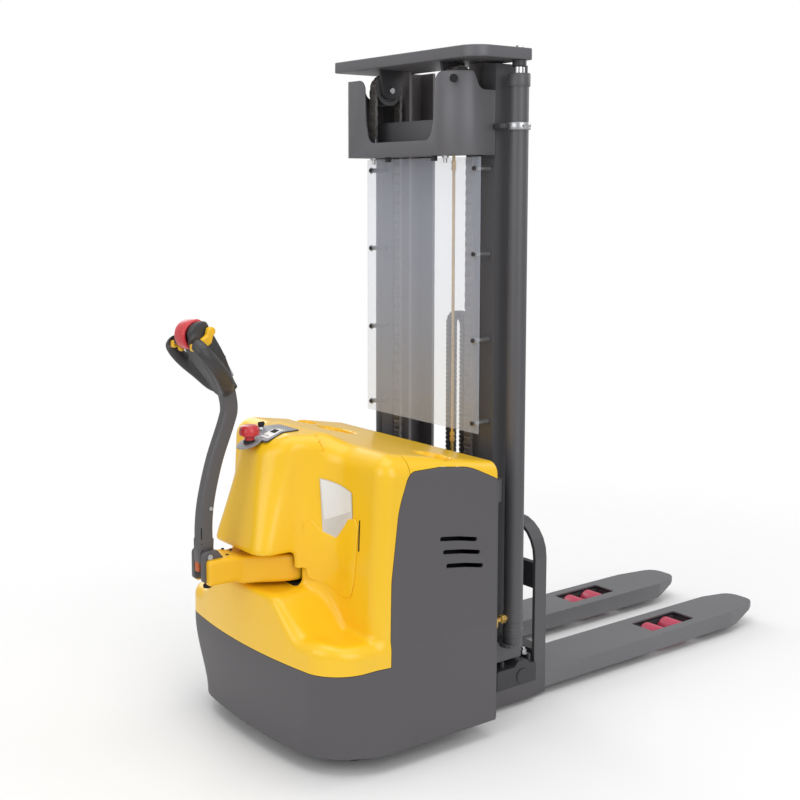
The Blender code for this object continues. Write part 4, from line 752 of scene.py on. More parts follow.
# --- pieces that follow a surface
def drape(item, axis, marks, height):
    """Cuts a flat piece at marks along axis, then moves each vertex by height(x, y, z)."""
    bm = bmesh.new()
    bm.from_mesh(item.data)
    normal = Vector([1 if k == axis else 0 for k in range(3)])
    for mark in marks:
        spot = Vector([0, HEEL, 0]) + normal * mark
        bmesh.ops.bisect_plane(bm, geom=list(bm.verts) + list(bm.edges) + list(bm.faces), plane_co=spot,
            plane_no=normal)
    for vertex in bm.verts:
        vertex.co += height(vertex.co.x, vertex.co.y - HEEL, vertex.co.z)
    bm.normal_update()
    bm.to_mesh(item.data)
    bm.free()
    return shade(item, 40)


def wall_offset(x, y, z):
    """From the plane Y = 0 to the cowl's front wall and the hollow curve beside its nose."""
    base = wall_line(z)
    middle, radius = NOSE + 0.003 + 0.112, 0.112
    if x < middle:
        base += -radius + (max(0, radius ** 2 - (middle - x) ** 2)) ** 0.5
    return Vector((0, base, 0))


def top_offset(x, y, z):
    return Vector((0, 0, float(nose_top(y))))


def make_pocket():
    steps = [0.15 + 0.008 * k for k in range(14)]
    outline = ((0.152, 0.575, 0.006), (0.158, 0.523, 0.02), (0.257, 0.483, 0.03), (0.293, 0.492, 0.01),
        (0.306, 0.535, 0.02), (0.317, 0.7, 0.01), (0.3, 0.722, 0.006), (0.268, 0.716, 0.006), (0.219, 0.65, 0.01),
        (0.176, 0.667, 0.01), (0.158, 0.7, 0.006), (0.149, 0.69, 0.004))
    pocket = slab("manual_pocket", outline, -0.005, 0.001, "XZ", YELLOW, bevel=0.0022, segments=3)
    place(drape(pocket, 0, steps, wall_offset), "chassis", "yellow_paint")
    slit = slab("pocket_slit", ((0.3185, 0.632, 0.0008), (0.3235, 0.632, 0.0008), (0.3215, 0.722, 0.0008),
        (0.3175, 0.722, 0.0008)), -0.0012, 0.001, "XZ", SHADOW)
    place(drape(slit, 0, (), wall_offset), "chassis", "black_plastic")
    sheet = slab("booklet", ((0.17, 0.822, 0.001), (0.2765, 0.793, 0.001), (0.285, 0.728, 0.001), (0.285, 0.6, 0),
        (0.185, 0.6, 0)), -0.0035, -0.0015, "XZ", PAPER, bevel=0.0004)
    cover = slab("booklet_cover", ((0.1725, 0.8185, 0.001), (0.2735, 0.791, 0.001), (0.279, 0.74, 0.001),
        (0.1835, 0.7, 0)), -0.0041, -0.0036, "XZ", WHITE)
    for item in (sheet, cover):
        place(drape(item, 0, steps, wall_offset), "chassis", "grey_plastic")


STOP_Y = -0.948
STOP = (0, STOP_Y, 0)


def make_dash():
    lines = (-0.93, -0.915, -0.9, -0.885, -0.868, -0.85)
    plates = (("dash_frame", ((-0.068, -0.928, 0.012), (0.062, -0.928, 0.012), (0.056, -0.806, 0.012),
        (-0.06, -0.806, 0.012)), 0.0002, 0.0028, MAST_DARK, 0.0008), ("dash_plate", ((-0.064, -0.924, 0.01),
        (0.058, -0.924, 0.01), (0.052, -0.81, 0.01), (-0.056, -0.81, 0.01)), 0.0026, 0.0036, GREY, 0), ("gauge_film",
        ((-0.004, -0.912, 0.012), (0.046, -0.912, 0.008), (0.044, -0.838, 0.018), (0.01, -0.846, 0.014)), 0.0034,
        0.0046, WHITE, 0), ("gauge_window", ((0.01, -0.884, 0.003), (0.037, -0.884, 0.003), (0.037, -0.866, 0.003),
        (0.01, -0.866, 0.003)), 0.0044, 0.0052, SHADOW, 0))
    made = []
    for name, outline, low, high, look, bevel in plates:
        item = slab(name, outline, low, high, "XY", look, bevel=bevel)
        made.append(drape(item, 1, lines, top_offset))
    for x, y in ((0.006, -0.902), (0.018, -0.902), (0.03, -0.902), (0.022, -0.85), (0.034, -0.85)):
        made.append(lathe("lamp", ((0, 0), (0.0022, 0), (0.0022, 0.0055), (0, 0.006)), (x, y, float(nose_top(y))),
            "Z", SHADOW, 12))
    made.append(lathe("stop_plate", ((0.014, 0), (0.039, 0), (0.0405, 0.0015), (0.04, 0.003), (0.0385, 0.0034),
        (0.014, 0.0034)), (0, 0, 0), "Z", GREY, 48))
    slope = Matrix.Rotation(0.3624, 4, "X")
    made[-1].data.transform(shift(at(0, STOP_Y, float(nose_top(STOP_Y)) + 0.0006)) @ slope @ shift(ORIGIN))
    made.append(lathe("key_bezel", ((0.0105, 0), (0.0155, 0), (0.0155, 0.003), (0.0135, 0.0055), (0.0105, 0.0055)),
        (-0.045, -0.88, 0.9425), "Z", ZINC, 32))
    place(join("dash", made), "chassis", "grey_plastic", ["dash_panel"])
    barrel = lathe("key_barrel", ((0, 0.935), (0.0098, 0.935), (0.0098, 0.9485), (0.0085, 0.95), (0, 0.95)),
        (-0.045, -0.88, 0), "Z", ZINC, 28)
    grip = slab("key_grip", ((-0.888, 0.95, 0), (-0.872, 0.95, 0), (-0.868, 0.958, 0.004), (-0.868, 0.966, 0.006),
        (-0.892, 0.966, 0.006), (-0.892, 0.958, 0.004)), -0.0466, -0.0434, "YZ", HOSE_BLACK, bevel=0.0008)
    place(join("key", [barrel, grip]), "key_switch", "black_plastic", ["key_switch"])
    cap = lathe("stop_cap", ((0, 0.9385), (0.015, 0.9385), (0.0225, 0.9375), (0.029, 0.9405), (0.0308, 0.9455),
        (0.0305, 0.952), (0.029, 0.96), (0.0262, 0.966), (0.0215, 0.9688), (0.01, 0.9697), (0, 0.9698)), STOP, "Z",
        RED, 56)
    stem = lathe("stop_stem", ((0, 0.905), (0.0128, 0.905), (0.015, 0.926), (0.015, 0.939), (0, 0.939)), STOP, "Z",
        RED, 32)
    place(join("stop_button", [cap, stem]), "emergency_stop", "red_plastic", ["emergency_stop"])
    collar = lathe("stop_collar", ((0.014, 0.918), (0.0182, 0.916), (0.0182, 0.9235), (0.0165, 0.9255),
        (0.014, 0.9255)), STOP, "Z", HOSE_BLACK, 36)
    place(collar, "chassis", "black_plastic")


make_pocket()
make_dash()


# --- steering head and tiller
def head_form(x, y, z):
    disc = np.hypot(x, y - STEER_Y) - 0.1195
    arm = np.maximum(np.abs(x) - 0.0555, np.maximum(y - STEER_Y, -1.1215 - y))
    plan = joined(disc, arm, 0.055)
    plan = common(plan, -1.1215 - y, 0.012)
    step = ease(-1.035, -1.0, y)
    top = z - 0.5975 + 0.006 * step
    low = 0.5225 - 0.012 * step - z
    solid = common(common(plan, top, 0.011), low, 0.011)
    room = np.maximum(np.abs(x) - 0.0265, y + 1.0665)
    return carved(solid, room, 0.003)


def make_steering():
    form = surface("steering_arm", head_form, (-0.14, -1.15, 0.49), (0.14, -0.71, 0.62), 0.0048, YELLOW_CAST)
    pieces = [form]
    for side in (-1, 1):
        low, high = sorted((side * 0.019, side * 0.0358))
        pieces.append(slab("ear", ((-1.128, 0.53, 0.01), (-1.06, 0.53, 0.01), (-1.06, 0.596, 0.004),
            (-1.08, 0.6225, 0.012), (-1.128, 0.6225, 0.016)), low, high, "YZ", ARM, bevel=0.0025, segments=3))
        pieces.append(lathe("pin_end", ((0, 0), (0.0078, 0), (0.0088, 0.0015), (0.0088, 0.004), (0.007, 0.0055),
            (0, 0.0055)), ORIGIN, "X", ZINC, 24))
        if side < 0:
            pieces[-1].data.transform(Matrix.Rotation(pi, 4, "Z"))
        pieces[-1].data.transform(shift(at(side * 0.0355, TIP_Y, 0.605)))
    for x, y in ((-0.042, -1.02), (-0.018, -1.006), (0.02, -1.04)):
        pieces.append(lathe("screw", ((0, 0), (0.0052, 0), (0.0052, 0.0022), (0.0042, 0.003), (0, 0.003)),
            (x, y, 0.5965), "Z", SHADOW, 6))
    pieces.append(post(rod, "stop_pad", 0.0125, 0, -1.096, 0.505, 0.515, SHADOW, sides=24))
    place(join("steering_casting", pieces), "steering", "yellow_paint", ["steering_head"])


def sweep(name, line, halves, look, corner=0.45, sides=6):
    """A rounded bar in the centre plane along (y, z) points; halves gives (across, deep) at each."""
    bm = bmesh.new()
    rings = []
    for index, (y, z) in enumerate(line):
        before = Vector(line[max(0, index - 1)])
        after = Vector(line[min(len(line) - 1, index + 1)])
        along = (after - before).normalized()
        out = Vector((along.y, -along.x))
        across, deep = halves[index]
        r = min(across, deep) * corner
        ring = []
        for sx, sd, start in ((1, 1, 0), (-1, 1, 90), (-1, -1, 180), (1, -1, 270)):
            for k in range(sides + 1):
                angle = radians(start + 90 * k / sides)
                a = sx * (across - r) + r * cos(angle)
                d = sd * (deep - r) + r * sin(angle)
                ring.append(bm.verts.new(at(a, y + out.x * d, z + out.y * d)))
        rings.append(ring)
    for one, two in zip(rings, rings[1:]):
        for k in range(len(one)):
            n = (k + 1) % len(one)
            bm.faces.new((one[k], one[n], two[n], two[k]))
    bm.faces.new(rings[0])
    bm.faces.new(rings[-1])
    bmesh.ops.recalc_face_normals(bm, faces=bm.faces)
    return to_object(name, bm, look, 50)


def smooth(points, steps):
    """Catmull-Rom points through the given ones."""
    rows = [np.array(p, float) for p in points]
    rows = [2 * rows[0] - rows[1]] + rows + [2 * rows[-1] - rows[-2]]
    out = []
    for a, b, c, d in zip(rows, rows[1:], rows[2:], rows[3:]):
        for k in range(steps):
            t = k / steps
            out.append(0.5 * (2 * b + (c - a) * t + (2 * a - 5 * b + 4 * c - d) * t * t
                + (3 * b - a - 3 * c + d) * t ** 3))
    out.append(rows[-2])
    return [tuple(float(v) for v in p) for p in out]


TILT = radians(30.6)
ARM_LINE = ((-1.106, 0.625), (-1.105, 0.7), (-1.095, 0.775), (-1.067, 0.881), (-1.027, 0.985), (-1.016, 1.03),
    (-1.026, 1.092))


def make_tiller_arm():
    line = smooth(ARM_LINE, 8)
    halves = []
    for index in range(len(line)):
        share = index / (len(line) - 1)
        halves.append((0.0178, 0.0235 - 0.002 * sin(share * pi)))
    arm = sweep("arm", line, halves, ARM, corner=0.4)
    foot = sweep("foot", ((-1.106, 0.582), (-1.106, 0.588), (-1.106, 0.636), (-1.1055, 0.652), (-1.105, 0.656)),
        ((0.015, 0.0215), (0.0176, 0.0245), (0.0176, 0.0262), (0.019, 0.0262), (0.0176, 0.024)), ARM)
    slot = block("foot_slot", (0.0168, -1.124, 0.64), (0.0183, -1.1205, 0.69), SHADOW, 0.0005)
    bolt = lathe("arm_bolt", ((0, 0), (0.0058, 0), (0.0058, 0.0025), (0.0045, 0.004), (0.002, 0.004), (0.002, 0.0025),
        (0, 0.0025)), ORIGIN, "X", ZINC, 24)
    bolt.data.transform(shift(at(0.0174, -1.09, 0.742)))
    actuator = block("brake_block", (-0.011, -1.131, 0.5585), (0.011, -1.112, 0.59), ORANGE, 0.003)
    knob = lathe("knuckle", mirrored((0, -0.0165), (0.016, -0.0165), (0.018, -0.014)), (0, TIP_Y, 0.605), "X", ARM,
        32)
    place(join("tiller_lever", [arm, foot, slot, bolt, actuator, knob]), "tiller", "body_grey", ["tiller_arm"])


def local(x, y, z):
    """From the heel plane's frame to the tiller head's own, along its tilted axis."""
    dy, dz = y - HEAD_Y, z - HEAD_Z
    return x, dy * cos(TILT) + dz * sin(TILT), -dy * sin(TILT) + dz * cos(TILT)


HEAD_PLACE = shift(at(0, HEAD_Y, HEAD_Z)) @ Matrix.Rotation(TILT, 4, "X")


def in_head(item):
    """Moves a piece made in the head's own frame to where the head is."""
    item.data.transform(HEAD_PLACE @ shift(ORIGIN))
    return item


def path_gap(points, x, y, z, squeeze):
    best = None
    for a, b in zip(points, points[1:]):
        a, b = np.array(a), np.array(b)
        d = b - a
        t = np.clip(((x - a[0]) * d[0] + (y - a[1]) * d[1] * squeeze ** 2
            + (z - a[2]) * d[2]) / (d[0] ** 2 + (d[1] * squeeze) ** 2 + d[2] ** 2), 0, 1)
        gap = np.sqrt((x - a[0] - t * d[0]) ** 2 + ((y - a[1] - t * d[1]) * squeeze) ** 2
            + (z - a[2] - t * d[2]) ** 2)
        gap = gap - (a[3] + t * (b[3] - a[3]))
        best = gap if best is None else np.minimum(best, gap)
    return best


GRIP_LINE = smooth(((0.02, -0.006, 0.004, 0.015), (0.04, -0.01, 0.022, 0.0185), (0.066, -0.018, 0.062, 0.018),
    (0.09, -0.03, 0.104, 0.0162), (0.0985, -0.038, 0.142, 0.015), (0.092, -0.041, 0.172, 0.0145),
    (0.068, -0.038, 0.187, 0.014), (0.036, -0.028, 0.188, 0.0138)), 4)


def grip_form(x, y, z):
    x, y, z = local(x, y, z)
    x = np.abs(x)
    half = 0.024 + 0.02 * ease(0.0, 0.13, z)
    back = y - (0.0345 - 0.006 * ease(0.1, 0.0, z))
    front = -y - (0.026 + 0.01 * ease(0.0, 0.12, z))
    core = common(common(x - half, back, 0.01), front, 0.012)
    core = common(core, np.maximum(np.hypot(y + 0.003, np.maximum(z - 0.192, 0)) - 0.0395, -0.014 - z), 0.006)
    loop = path_gap(GRIP_LINE, x, y, z, 0.72)
    web = np.maximum(np.abs(y + 0.012) - 0.0125, np.maximum(z - 0.104, x - 0.01 - 0.66 * z))
    solid = joined(core, loop, 0.01)
    solid = joined(solid, web, 0.012)
    groove = np.maximum(np.abs(x - 0.0575) - 0.011, np.hypot((y + 0.015) * 0.75, z - 0.181) - 0.033)
    solid = carved(solid, groove, 0.002)
    ring = np.abs(np.hypot(y + 0.008, z - 0.194) - 0.0395) - 0.009
    button = np.maximum(np.maximum(x - 0.0285, ring), np.maximum(0.17 - z, y - 0.03))
    solid = carved(solid, button, 0.0015)
    lever = np.maximum(np.maximum(x - 0.0168, np.abs(z - 0.1) - 0.0206), 0.0312 - y)
    return carved(solid, lever, 0.0012)


def paddle_form(x, y, z):
    x, y, z = local(x, y, z)
    x = np.abs(x)
    hub = np.hypot(y, z - 0.176) - 0.0125
    high = np.hypot(y - 0.022, z - 0.192) - 0.0125
    low = np.hypot(y + 0.048, z - 0.183) - 0.0105
    middle = np.hypot((y + 0.018) * 0.75, z - 0.176) - 0.0125
    tail = np.hypot(y + 0.036, z - 0.158) - 0.0075
    fin = joined(joined(joined(hub, high, 0.016), joined(low, tail, 0.012), 0.016), middle, 0.012)
    across = np.abs(x - 0.0575) - 0.0082 - 0.0016 * ease(0.01, 0.03, np.abs(y + 0.012))
    wing = common(fin, across, 0.0045)
    shaft = np.maximum(np.hypot(y, z - 0.176) - 0.007, x - 0.054)
    return joined(wing, shaft, 0.002)


def button_form(x, y, z):
    x, y, z = local(x, y, z)
    ring = np.abs(np.hypot(y + 0.008, z - 0.194) - 0.0395) - 0.0072 + 3.0 * x ** 2
    ends = np.maximum(0.1725 - z, y - 0.0275)
    return common(common(ring * 0.97, np.abs(x) - 0.0265, 0.005), ends, 0.004)


def make_tiller_head():
    low, high = (-0.135, -1.19, 1.055), (0.135, -0.975, 1.315)
    pieces = [surface("grip_shell", grip_form, low, high, 0.0034, GRIP)]
    strip = slab("keypad", ((-0.0165, 0.02, 0.008), (0.0165, 0.02, 0.008), (0.0225, 0.15, 0.008),
        (-0.0225, 0.15, 0.008)), 0.03, 0.0358, "XZ", KEYPAD, bevel=0.0008)
    boolean(strip, block("rocker_room", (-0.0175, 0.02, 0.079), (0.0175, 0.06, 0.121), KEYPAD, 0), "DIFFERENCE")
    paint(strip, KEYPAD)
    face = slab("head_face", ((-0.03, 0.186, 0.006), (0.03, 0.186, 0.006), (0.034, 0.2135, 0.006),
        (-0.034, 0.2135, 0.006)), 0.0325, 0.0356, "XZ", GREY, bevel=0.001)
    recess = slab("grip_recess", ((-0.022, 0.04, 0.006), (-0.004, 0.032, 0.006), (0.004, 0.075, 0.006),
        (-0.014, 0.084, 0.006)), 0.0262, 0.0275, "YZ", SHADOW, bevel=0.0004)
    for item in (strip, face, recess):
        pieces.append(in_head(item))
    place(join("tiller_grip", pieces), "tiller", "black_plastic", ["tiller_head"])
    paddles = surface("thumb_levers", paddle_form, (-0.085, -1.17, 1.17), (0.085, -1.02, 1.31), 0.0028, YELLOW_CAST)
    place(paddles, "throttle", "yellow_paint", ["throttle_paddles"])
    button = surface("reversing_button", button_form, (-0.05, -1.2, 1.19), (0.05, -1.06, 1.33), 0.0026, RED)
    place(button, "belly_button", "red_plastic", ["belly_button"])
    rocker = slab("rocker", ((0.0345, 0.0812, 0.001), (0.0432, 0.0812, 0.003), (0.0405, 0.1, 0.02),
        (0.0432, 0.1188, 0.003), (0.0345, 0.1188, 0.001)), -0.0156, 0.0156, "YZ", GREY, bevel=0.001)
    place(in_head(rocker), "lift_rocker", "grey_plastic", ["lift_rocker"])


make_steering()
make_tiller_arm()
make_tiller_head()


# --- mast, chains and lift
def settled(item):
    """The same piece with its sharp edges rounded off."""
    soften_node(item)
    baked(item)
    shade(item, 32)


def repeated(name, item, moves):
    """One object with a copy of item at each matrix."""
    bm = bmesh.new()
    for move in moves:
        copy = item.data.copy()
        copy.transform(move)
        bm.from_mesh(copy)
        bpy.data.meshes.remove(copy)
    look = item.data.materials[0]
    bpy.data.objects.remove(item, do_unlink=True)
    return to_object(name, bm, look)


def make_cylinder(suffix):
    x, y = CYL_X, CYL_Y
    barrel = lathe("barrel", ((0, 0.262), (0.027, 0.262), (0.027, 1.96), (0.0172, 1.962), (0.0172, 2.0),
        (0.0225, 2.008), (0.0325, 2.008), (0.034, 2.005), (0.034, 1.972), (0.0332, 1.969), (0.0302, 1.969),
        (0.0302, 0.34), (0.0318, 0.338), (0.0318, 0.312), (0.0302, 0.31), (0.0302, 0.292), (0.033, 0.289),
        (0.033, 0.264), (0.0302, 0.261), (0.0302, 0.243), (0.029, 0.24), (0, 0.24)), (x, y, 0), "Z", MAST, 56)
    wiper = lathe("wiper", ((0.0168, 2.0005), (0.0224, 2.0078), (0.0215, 2.0079), (0.0168, 2.0079), (0.0168, 2.0005)),
        (x, y, 0), "Z", HOSE_BLACK, 40)
    stub = rod("stub", 0.008, (x, y - 0.029, 0.325), (x, -0.271, 0.325), BRASS)
    nut = hexagon("union_nut", 0.014, (x, -0.232, 0.325), (x, -0.25, 0.325), BRASS)
    elbow = post(rod, "elbow", 0.01, x, -0.271, 0.304, 0.334, BRASS)
    cap = post(hexagon, "elbow_cap", 0.0105, x, -0.271, 0.304, 0.313, BRASS)
    return join("lift_cylinder" + suffix, [barrel, wiper, stub, nut, elbow, cap])


def make_rod(suffix):
    return lathe("piston" + suffix, ((0, 0.27), (0.025, 0.27), (0.0262, 0.2712), (0.0262, 0.2988), (0.025, 0.3),
        (0.0162, 0.3), (0.0162, 2.0479), (0, 2.0479)), (CYL_X, CYL_Y, 0), "Z", STEEL, 40)


def make_band(suffix):
    x, y = CYL_X, CYL_Y
    ring = lathe("band", ((0.0303, 1.8402), (0.0355, 1.8402), (0.0365, 1.8425), (0.0365, 1.8595), (0.0355, 1.8618),
        (0.0303, 1.8618), (0.0303, 1.8402)), (x, y, 0), "Z", ZINC, 48)
    tail = slab("tail", ((0.2874, -0.2545, 0.002), (0.3315, -0.2545, 0.014), (0.3315, -0.229, 0.004),
        (0.2874, -0.233, 0.002)), 1.843, 1.859, "XY", MAST_DARK, bevel=0.002)
    lug = block("lug", (0.3665, -0.2035, 1.841), (0.3745, -0.1865, 1.861), ZINC, 0.0022)
    bolt = rod("lug_bolt", 0.0035, (0.3722, -0.2115, 1.851), (0.3722, -0.179, 1.851), STEEL, 12)
    head = hexagon("lug_head", 0.0062, (0.3722, -0.2085, 1.851), (0.3722, -0.2035, 1.851), ZINC)
    rivet = rod("rivet", 0.0035, (0.312, -0.2345, 1.851), (0.31, -0.238, 1.851), STEEL, 12)
    return join("cylinder_clamp" + suffix, [ring, tail, lug, bolt, head, rivet])


def make_pipe():
    x, y = 0.143, -0.2862
    pieces = [rod("pipe", 0.0048, (x, y, 0.1605), (x, y, 1.7648), BRASS, 20, 0.0005)]
    for z in (0.18, 0.88, 1.735):
        pieces += [post(hexagon, "nut", 0.0078, x, y, z - 0.015, z - 0.002, BRASS), post(rod, "olive", 0.0058, x, y, z
            - 0.0022, z + 0.003, BRASS, sides=20), post(hexagon, "nut", 0.0078, x, y, z + 0.0028, z + 0.015, BRASS)]
    place(join("pipe_run", pieces), "chassis", "brass", ["hydraulic_pipe"])


def make_carrier():
    x, y, top, r, pitch = 0.075, -0.206, 1.228, 0.034, 0.0142
    shell = slab("shell", ((-0.0105, -0.0066, 0.004), (0.0105, -0.0066, 0.002), (0.0105, 0.0066, 0.002),
        (-0.0105, 0.0066, 0.004)), -0.0155, 0.0155, "XZ", HOSE_BLACK, bevel=0.001, segments=1, steps=3)
    shell.data.transform(shift(ORIGIN))
    bars = []
    for side in (-1, 1):
        bar = block("bar", (side * 0.0107 - 0.0004, -0.011, -0.0011), (side * 0.0107 + 0.0004, 0.011, 0.0011), GREY,
            0)
        bar.data.transform(shift(ORIGIN))
        bars.append(bar)
    moves = []
    for leg in (-1, 1):
        z = top - pitch / 2
        while z - 0.007 > 0.16:
            moves.append(shift(at(x + leg * r, y, z)))
            z -= pitch
    count = 8
    for k in range(count):
        angle = pi * (k + 0.5) / count
        moves.append(shift(at(x + r * cos(angle), y, top + r * sin(angle))) @ Matrix.Rotation(-angle, 4, "Y"))
    links = repeated("links", shell, moves)
    marks = [repeated("marks", bar, moves) for bar in bars]
    place(join("energy_chain", [links] + marks), "chassis", "black_plastic", ["cable_carrier"])


def make_pulley(suffix):
    profile = mirrored((0.0102, -0.0198), (0.017, -0.0198), (0.018, -0.0188), (0.018, -0.015), (0.033, -0.015),
        (0.034, -0.016), (0.035, -0.0195), (0.0472, -0.0198), (0.048, -0.019), (0.048, -0.018), (0.0448, -0.0173))
    wheel = lathe("wheel", profile, SHEAVE, "X", MAST, 56)
    return join("pulley" + suffix, [wheel])


PITCH = 0.0159


def make_chain(name, points):
    """A leaf chain of plates and pins along evenly spaced (y, z) points."""
    thick = 0.002
    rows = ((-0.0157, -0.0081, -0.0002, 0.0077, 0.0155), (-0.0132, -0.0106, -0.0055, -0.0028, 0.0026, 0.0053, 0.0104,
        0.0131))
    pieces = []
    for parity, places in enumerate(rows):
        moves = []
        for index in range(parity, len(points) - 1, 2):
            (y0, z0), (y1, z1) = points[index], points[index + 1]
            turn = Matrix.Rotation(atan2(z1 - z0, y1 - y0), 4, "X")
            moves.append(shift(at(SHEAVE[0], (y0 + y1) / 2, (z0 + z1) / 2)) @ turn)
        reach, high = PITCH / 2 + 0.0045, 0.0046
        outline = ((-reach, -high, 0.004), (-0.001, -high, 0), (0.001, -high, 0), (reach, -high, 0.004),
            (reach, high, 0.004), (0.001, high, 0), (-0.001, high, 0), (-reach, high, 0.004))
        plates = []
        for x in places:
            plate = slab("plate", outline, x - thick / 2, x + thick / 2, "YZ", CHAIN, steps=2)
            plate.data.transform(shift(ORIGIN))
            plates.append(plate)
        unit = join("unit", plates)
        pieces.append(repeated("plates", unit, moves))
    pin = lathe("pin", mirrored((0, -0.0168), (0.002, -0.0168), (0.0026, -0.0162)), ORIGIN, "X", PIN, 10)
    pieces.append(repeated("pins", pin, [shift(at(SHEAVE[0], y, z)) for y, z in points]))
    return join(name, pieces)


def make_chains():
    reach, (y0, z0) = 0.0503, SHEAVE[1:]
    count = int((1.975 - 0.372) / PITCH)
    line = [(y0 + reach, 1.976 - k * PITCH) for k in range(count + 1)]
    run = make_chain("carriage_chain_right", line)
    low = line[-1][1]
    clevis = block("clevis", (0.1675, -0.2596, 0.3606), (0.2005, -0.2498, low + 0.004), ZINC, 0.0015)
    run = join("carriage_chain_right", [run, clevis])

    step = PITCH / reach
    arc = int(pi / step)
    over = [(y0 + reach * cos(step * k), z0 + reach * sin(step * k)) for k in range(arc + 1)]
    front = int((z0 - 1.802) / PITCH)
    down = [(y0 - reach, over[-1][1] - PITCH * k) for k in range(1, front + 1)]
    anchor = make_chain("anchor_chain_right", over + down)
    low = down[-1][1]
    clevis = block("clevis", (0.1675, -0.3601, 1.7716), (0.2005, -0.3505, low + 0.004), ZINC, 0.0015)
    anchor = join("anchor_chain_right", [anchor, clevis])
    for right, start, end, bodies, node in ((run, at(0, -0.2547, 1.96), at(0, -0.2547, 0.38),
            ("inner_mast", "carriage"), "chain_carriage_run_"), (anchor, at(0, -0.3553, 1.79), at(0, -0.3553, 1.96),
            ("chassis", "inner_mast"), "chain_anchor_run_")):
        left = mirror_x(right, right.name.replace("_right", "_left"))
        for item, side in ((right, "right"), (left, "left")):
            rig.blend(item, *bodies, start, end)
            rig.slot(item, "chain_steel")
            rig.replaces(item, node + side)


def make_top_plate():
    plate = slab("plate", ((-0.361, -0.16, 0.01), (-0.361, -0.392, 0.014), (0.361, -0.392, 0.065),
        (0.361, -0.16, 0.01)), 2.0481, 2.083, "XY", BRACKET, bevel=0.0035, segments=3, steps=14)
    pieces = [plate]
    for side in (-1, 1):
        low, high = sorted((side * 0.151, side * 0.161))
        pieces.append(slab("hanger", ((-0.352, 2.049, 0), (-0.337, 1.956, 0.026), (-0.273, 1.956, 0.026),
            (-0.258, 2.049, 0)), low, high, "YZ", MAST_DARK, bevel=0.0012))
        pieces.append(rod("axle", 0.01, (side * 0.146, *SHEAVE[1:]), (side * 0.216, *SHEAVE[1:]), STEEL, 28))
        pieces.append(rod("collar", 0.016, (side * 0.2065, *SHEAVE[1:]), (side * 0.212, *SHEAVE[1:]), ZINC, 28))
        pieces.append(rod("rod_boss", 0.0215, (side * CYL_X, CYL_Y, 2.027), (side * CYL_X, CYL_Y, 2.0485), MAST_DARK,
            32))
        pieces.append(post(rod, "washer", 0.015, side * CYL_X, CYL_Y, 2.083, 2.0845, ZINC, sides=28))
        pieces.append(hexagon("rod_bolt", 0.012, (side * CYL_X, CYL_Y, 2.0843), (side * CYL_X, CYL_Y, 2.091), ZINC))
        pieces.append(lathe("bolt_socket", ((0, 0), (0.0052, 0), (0.0052, 0.0004), (0, 0.0004)),
            (side * CYL_X, CYL_Y, 2.0907), "Z", SHADOW, 6))
    place(join("mast_head", pieces), "inner_mast", "mast_grey", ["top_plate"])


def make_bracket():
    wall = 0.006
    out = ((-0.287, -0.2435, 0), (-0.287, -0.395, 0.022), (0.287, -0.395, 0.09), (0.287, -0.2435, 0))
    inside = ((-0.287 + wall, -0.2, 0), (-0.287 + wall, -0.395 + wall, 0.022 - wall),
        (0.287 - wall, -0.395 + wall, 0.09 - wall), (0.287 - wall, -0.2, 0))
    sheet = slab("bracket", out, 1.765, 2.014, "XY", BRACKET, steps=14)
    boolean(sheet, slab("room", inside, 1.7, 2.1, "XY", BRACKET, steps=14), "DIFFERENCE")
    ear, side_x = 0.034, 0.18
    rim = [(side_x + ear - ear * cos(radians(9 * k)), 2.0145 - ear + ear * sin(radians(9 * k)), 0) for k in range(11)]
    half = [(0.158, 1.811, 0.034), (side_x - 0.004, 1.88, 0.1)] + rim + [(side_x + ear, 2.1, 0)]
    notch = slab("notch", [(-x, z, r) for x, z, r in reversed(half)] + half, -0.5, -0.25, "XZ", BRACKET, steps=10)
    boolean(sheet, notch, "DIFFERENCE")
    step = slab("step", ((-0.1, 1.96, 0), (-0.305, 1.96, 0.03), (-0.33, 2.015, 0.018), (-0.345, 2.015, 0),
        (-0.345, 2.1, 0), (-0.1, 2.1, 0)), -0.5, 0.5, "YZ", BRACKET, steps=8)
    boolean(sheet, step, "DIFFERENCE")
    paint(sheet, BRACKET)
    settled(sheet)
    floor = slab("floor", ((-0.2868, -0.287, 0), (-0.2868, -0.3948, 0.0218), (0.2868, -0.3948, 0.0898),
        (0.2868, -0.287, 0)), 1.7652, 1.7712, "XY", BRACKET, bevel=0.001, steps=14)
    tie = block("tie", (-0.2815, -0.3, 1.7655), (0.2815, -0.294, 1.88), BRACKET, 0.0015)
    pieces = [sheet, floor, tie]
    # painted shade: a flat black disc on the ear stands for the shade inside its pin hole
    pin = lathe("ear_pin", ((0, 0), (0.0115, 0), (0.0125, -0.0008), (0.0125, -0.004), (0, -0.004)), ORIGIN, "X",
        SHADOW, 28)
    pin.data.transform(shift(at(0.26, -0.3873, 1.99)) @ Matrix.Rotation(-0.85, 4, "Z"))
    pieces.append(pin)
    for side in (-1, 1):
        pieces.append(hexagon("anchor_nut", 0.0105, (side * 0.184, -0.3553, 1.7655), (side * 0.184, -0.3553, 1.756),
            ZINC))
        pieces.append(rod("anchor_stud", 0.0065, (side * 0.184, -0.3553, 1.757), (side * 0.184, -0.3553, 1.743), ZINC,
            16))
        pieces.append(block("floor_lug", (side * 0.118 - 0.009, -0.352, 1.749), (side * 0.118 + 0.009, -0.338, 1.766),
            MAST_DARK, 0.002))
    place(join("head_casting", pieces), "chassis", "mast_grey", ["head_bracket"])


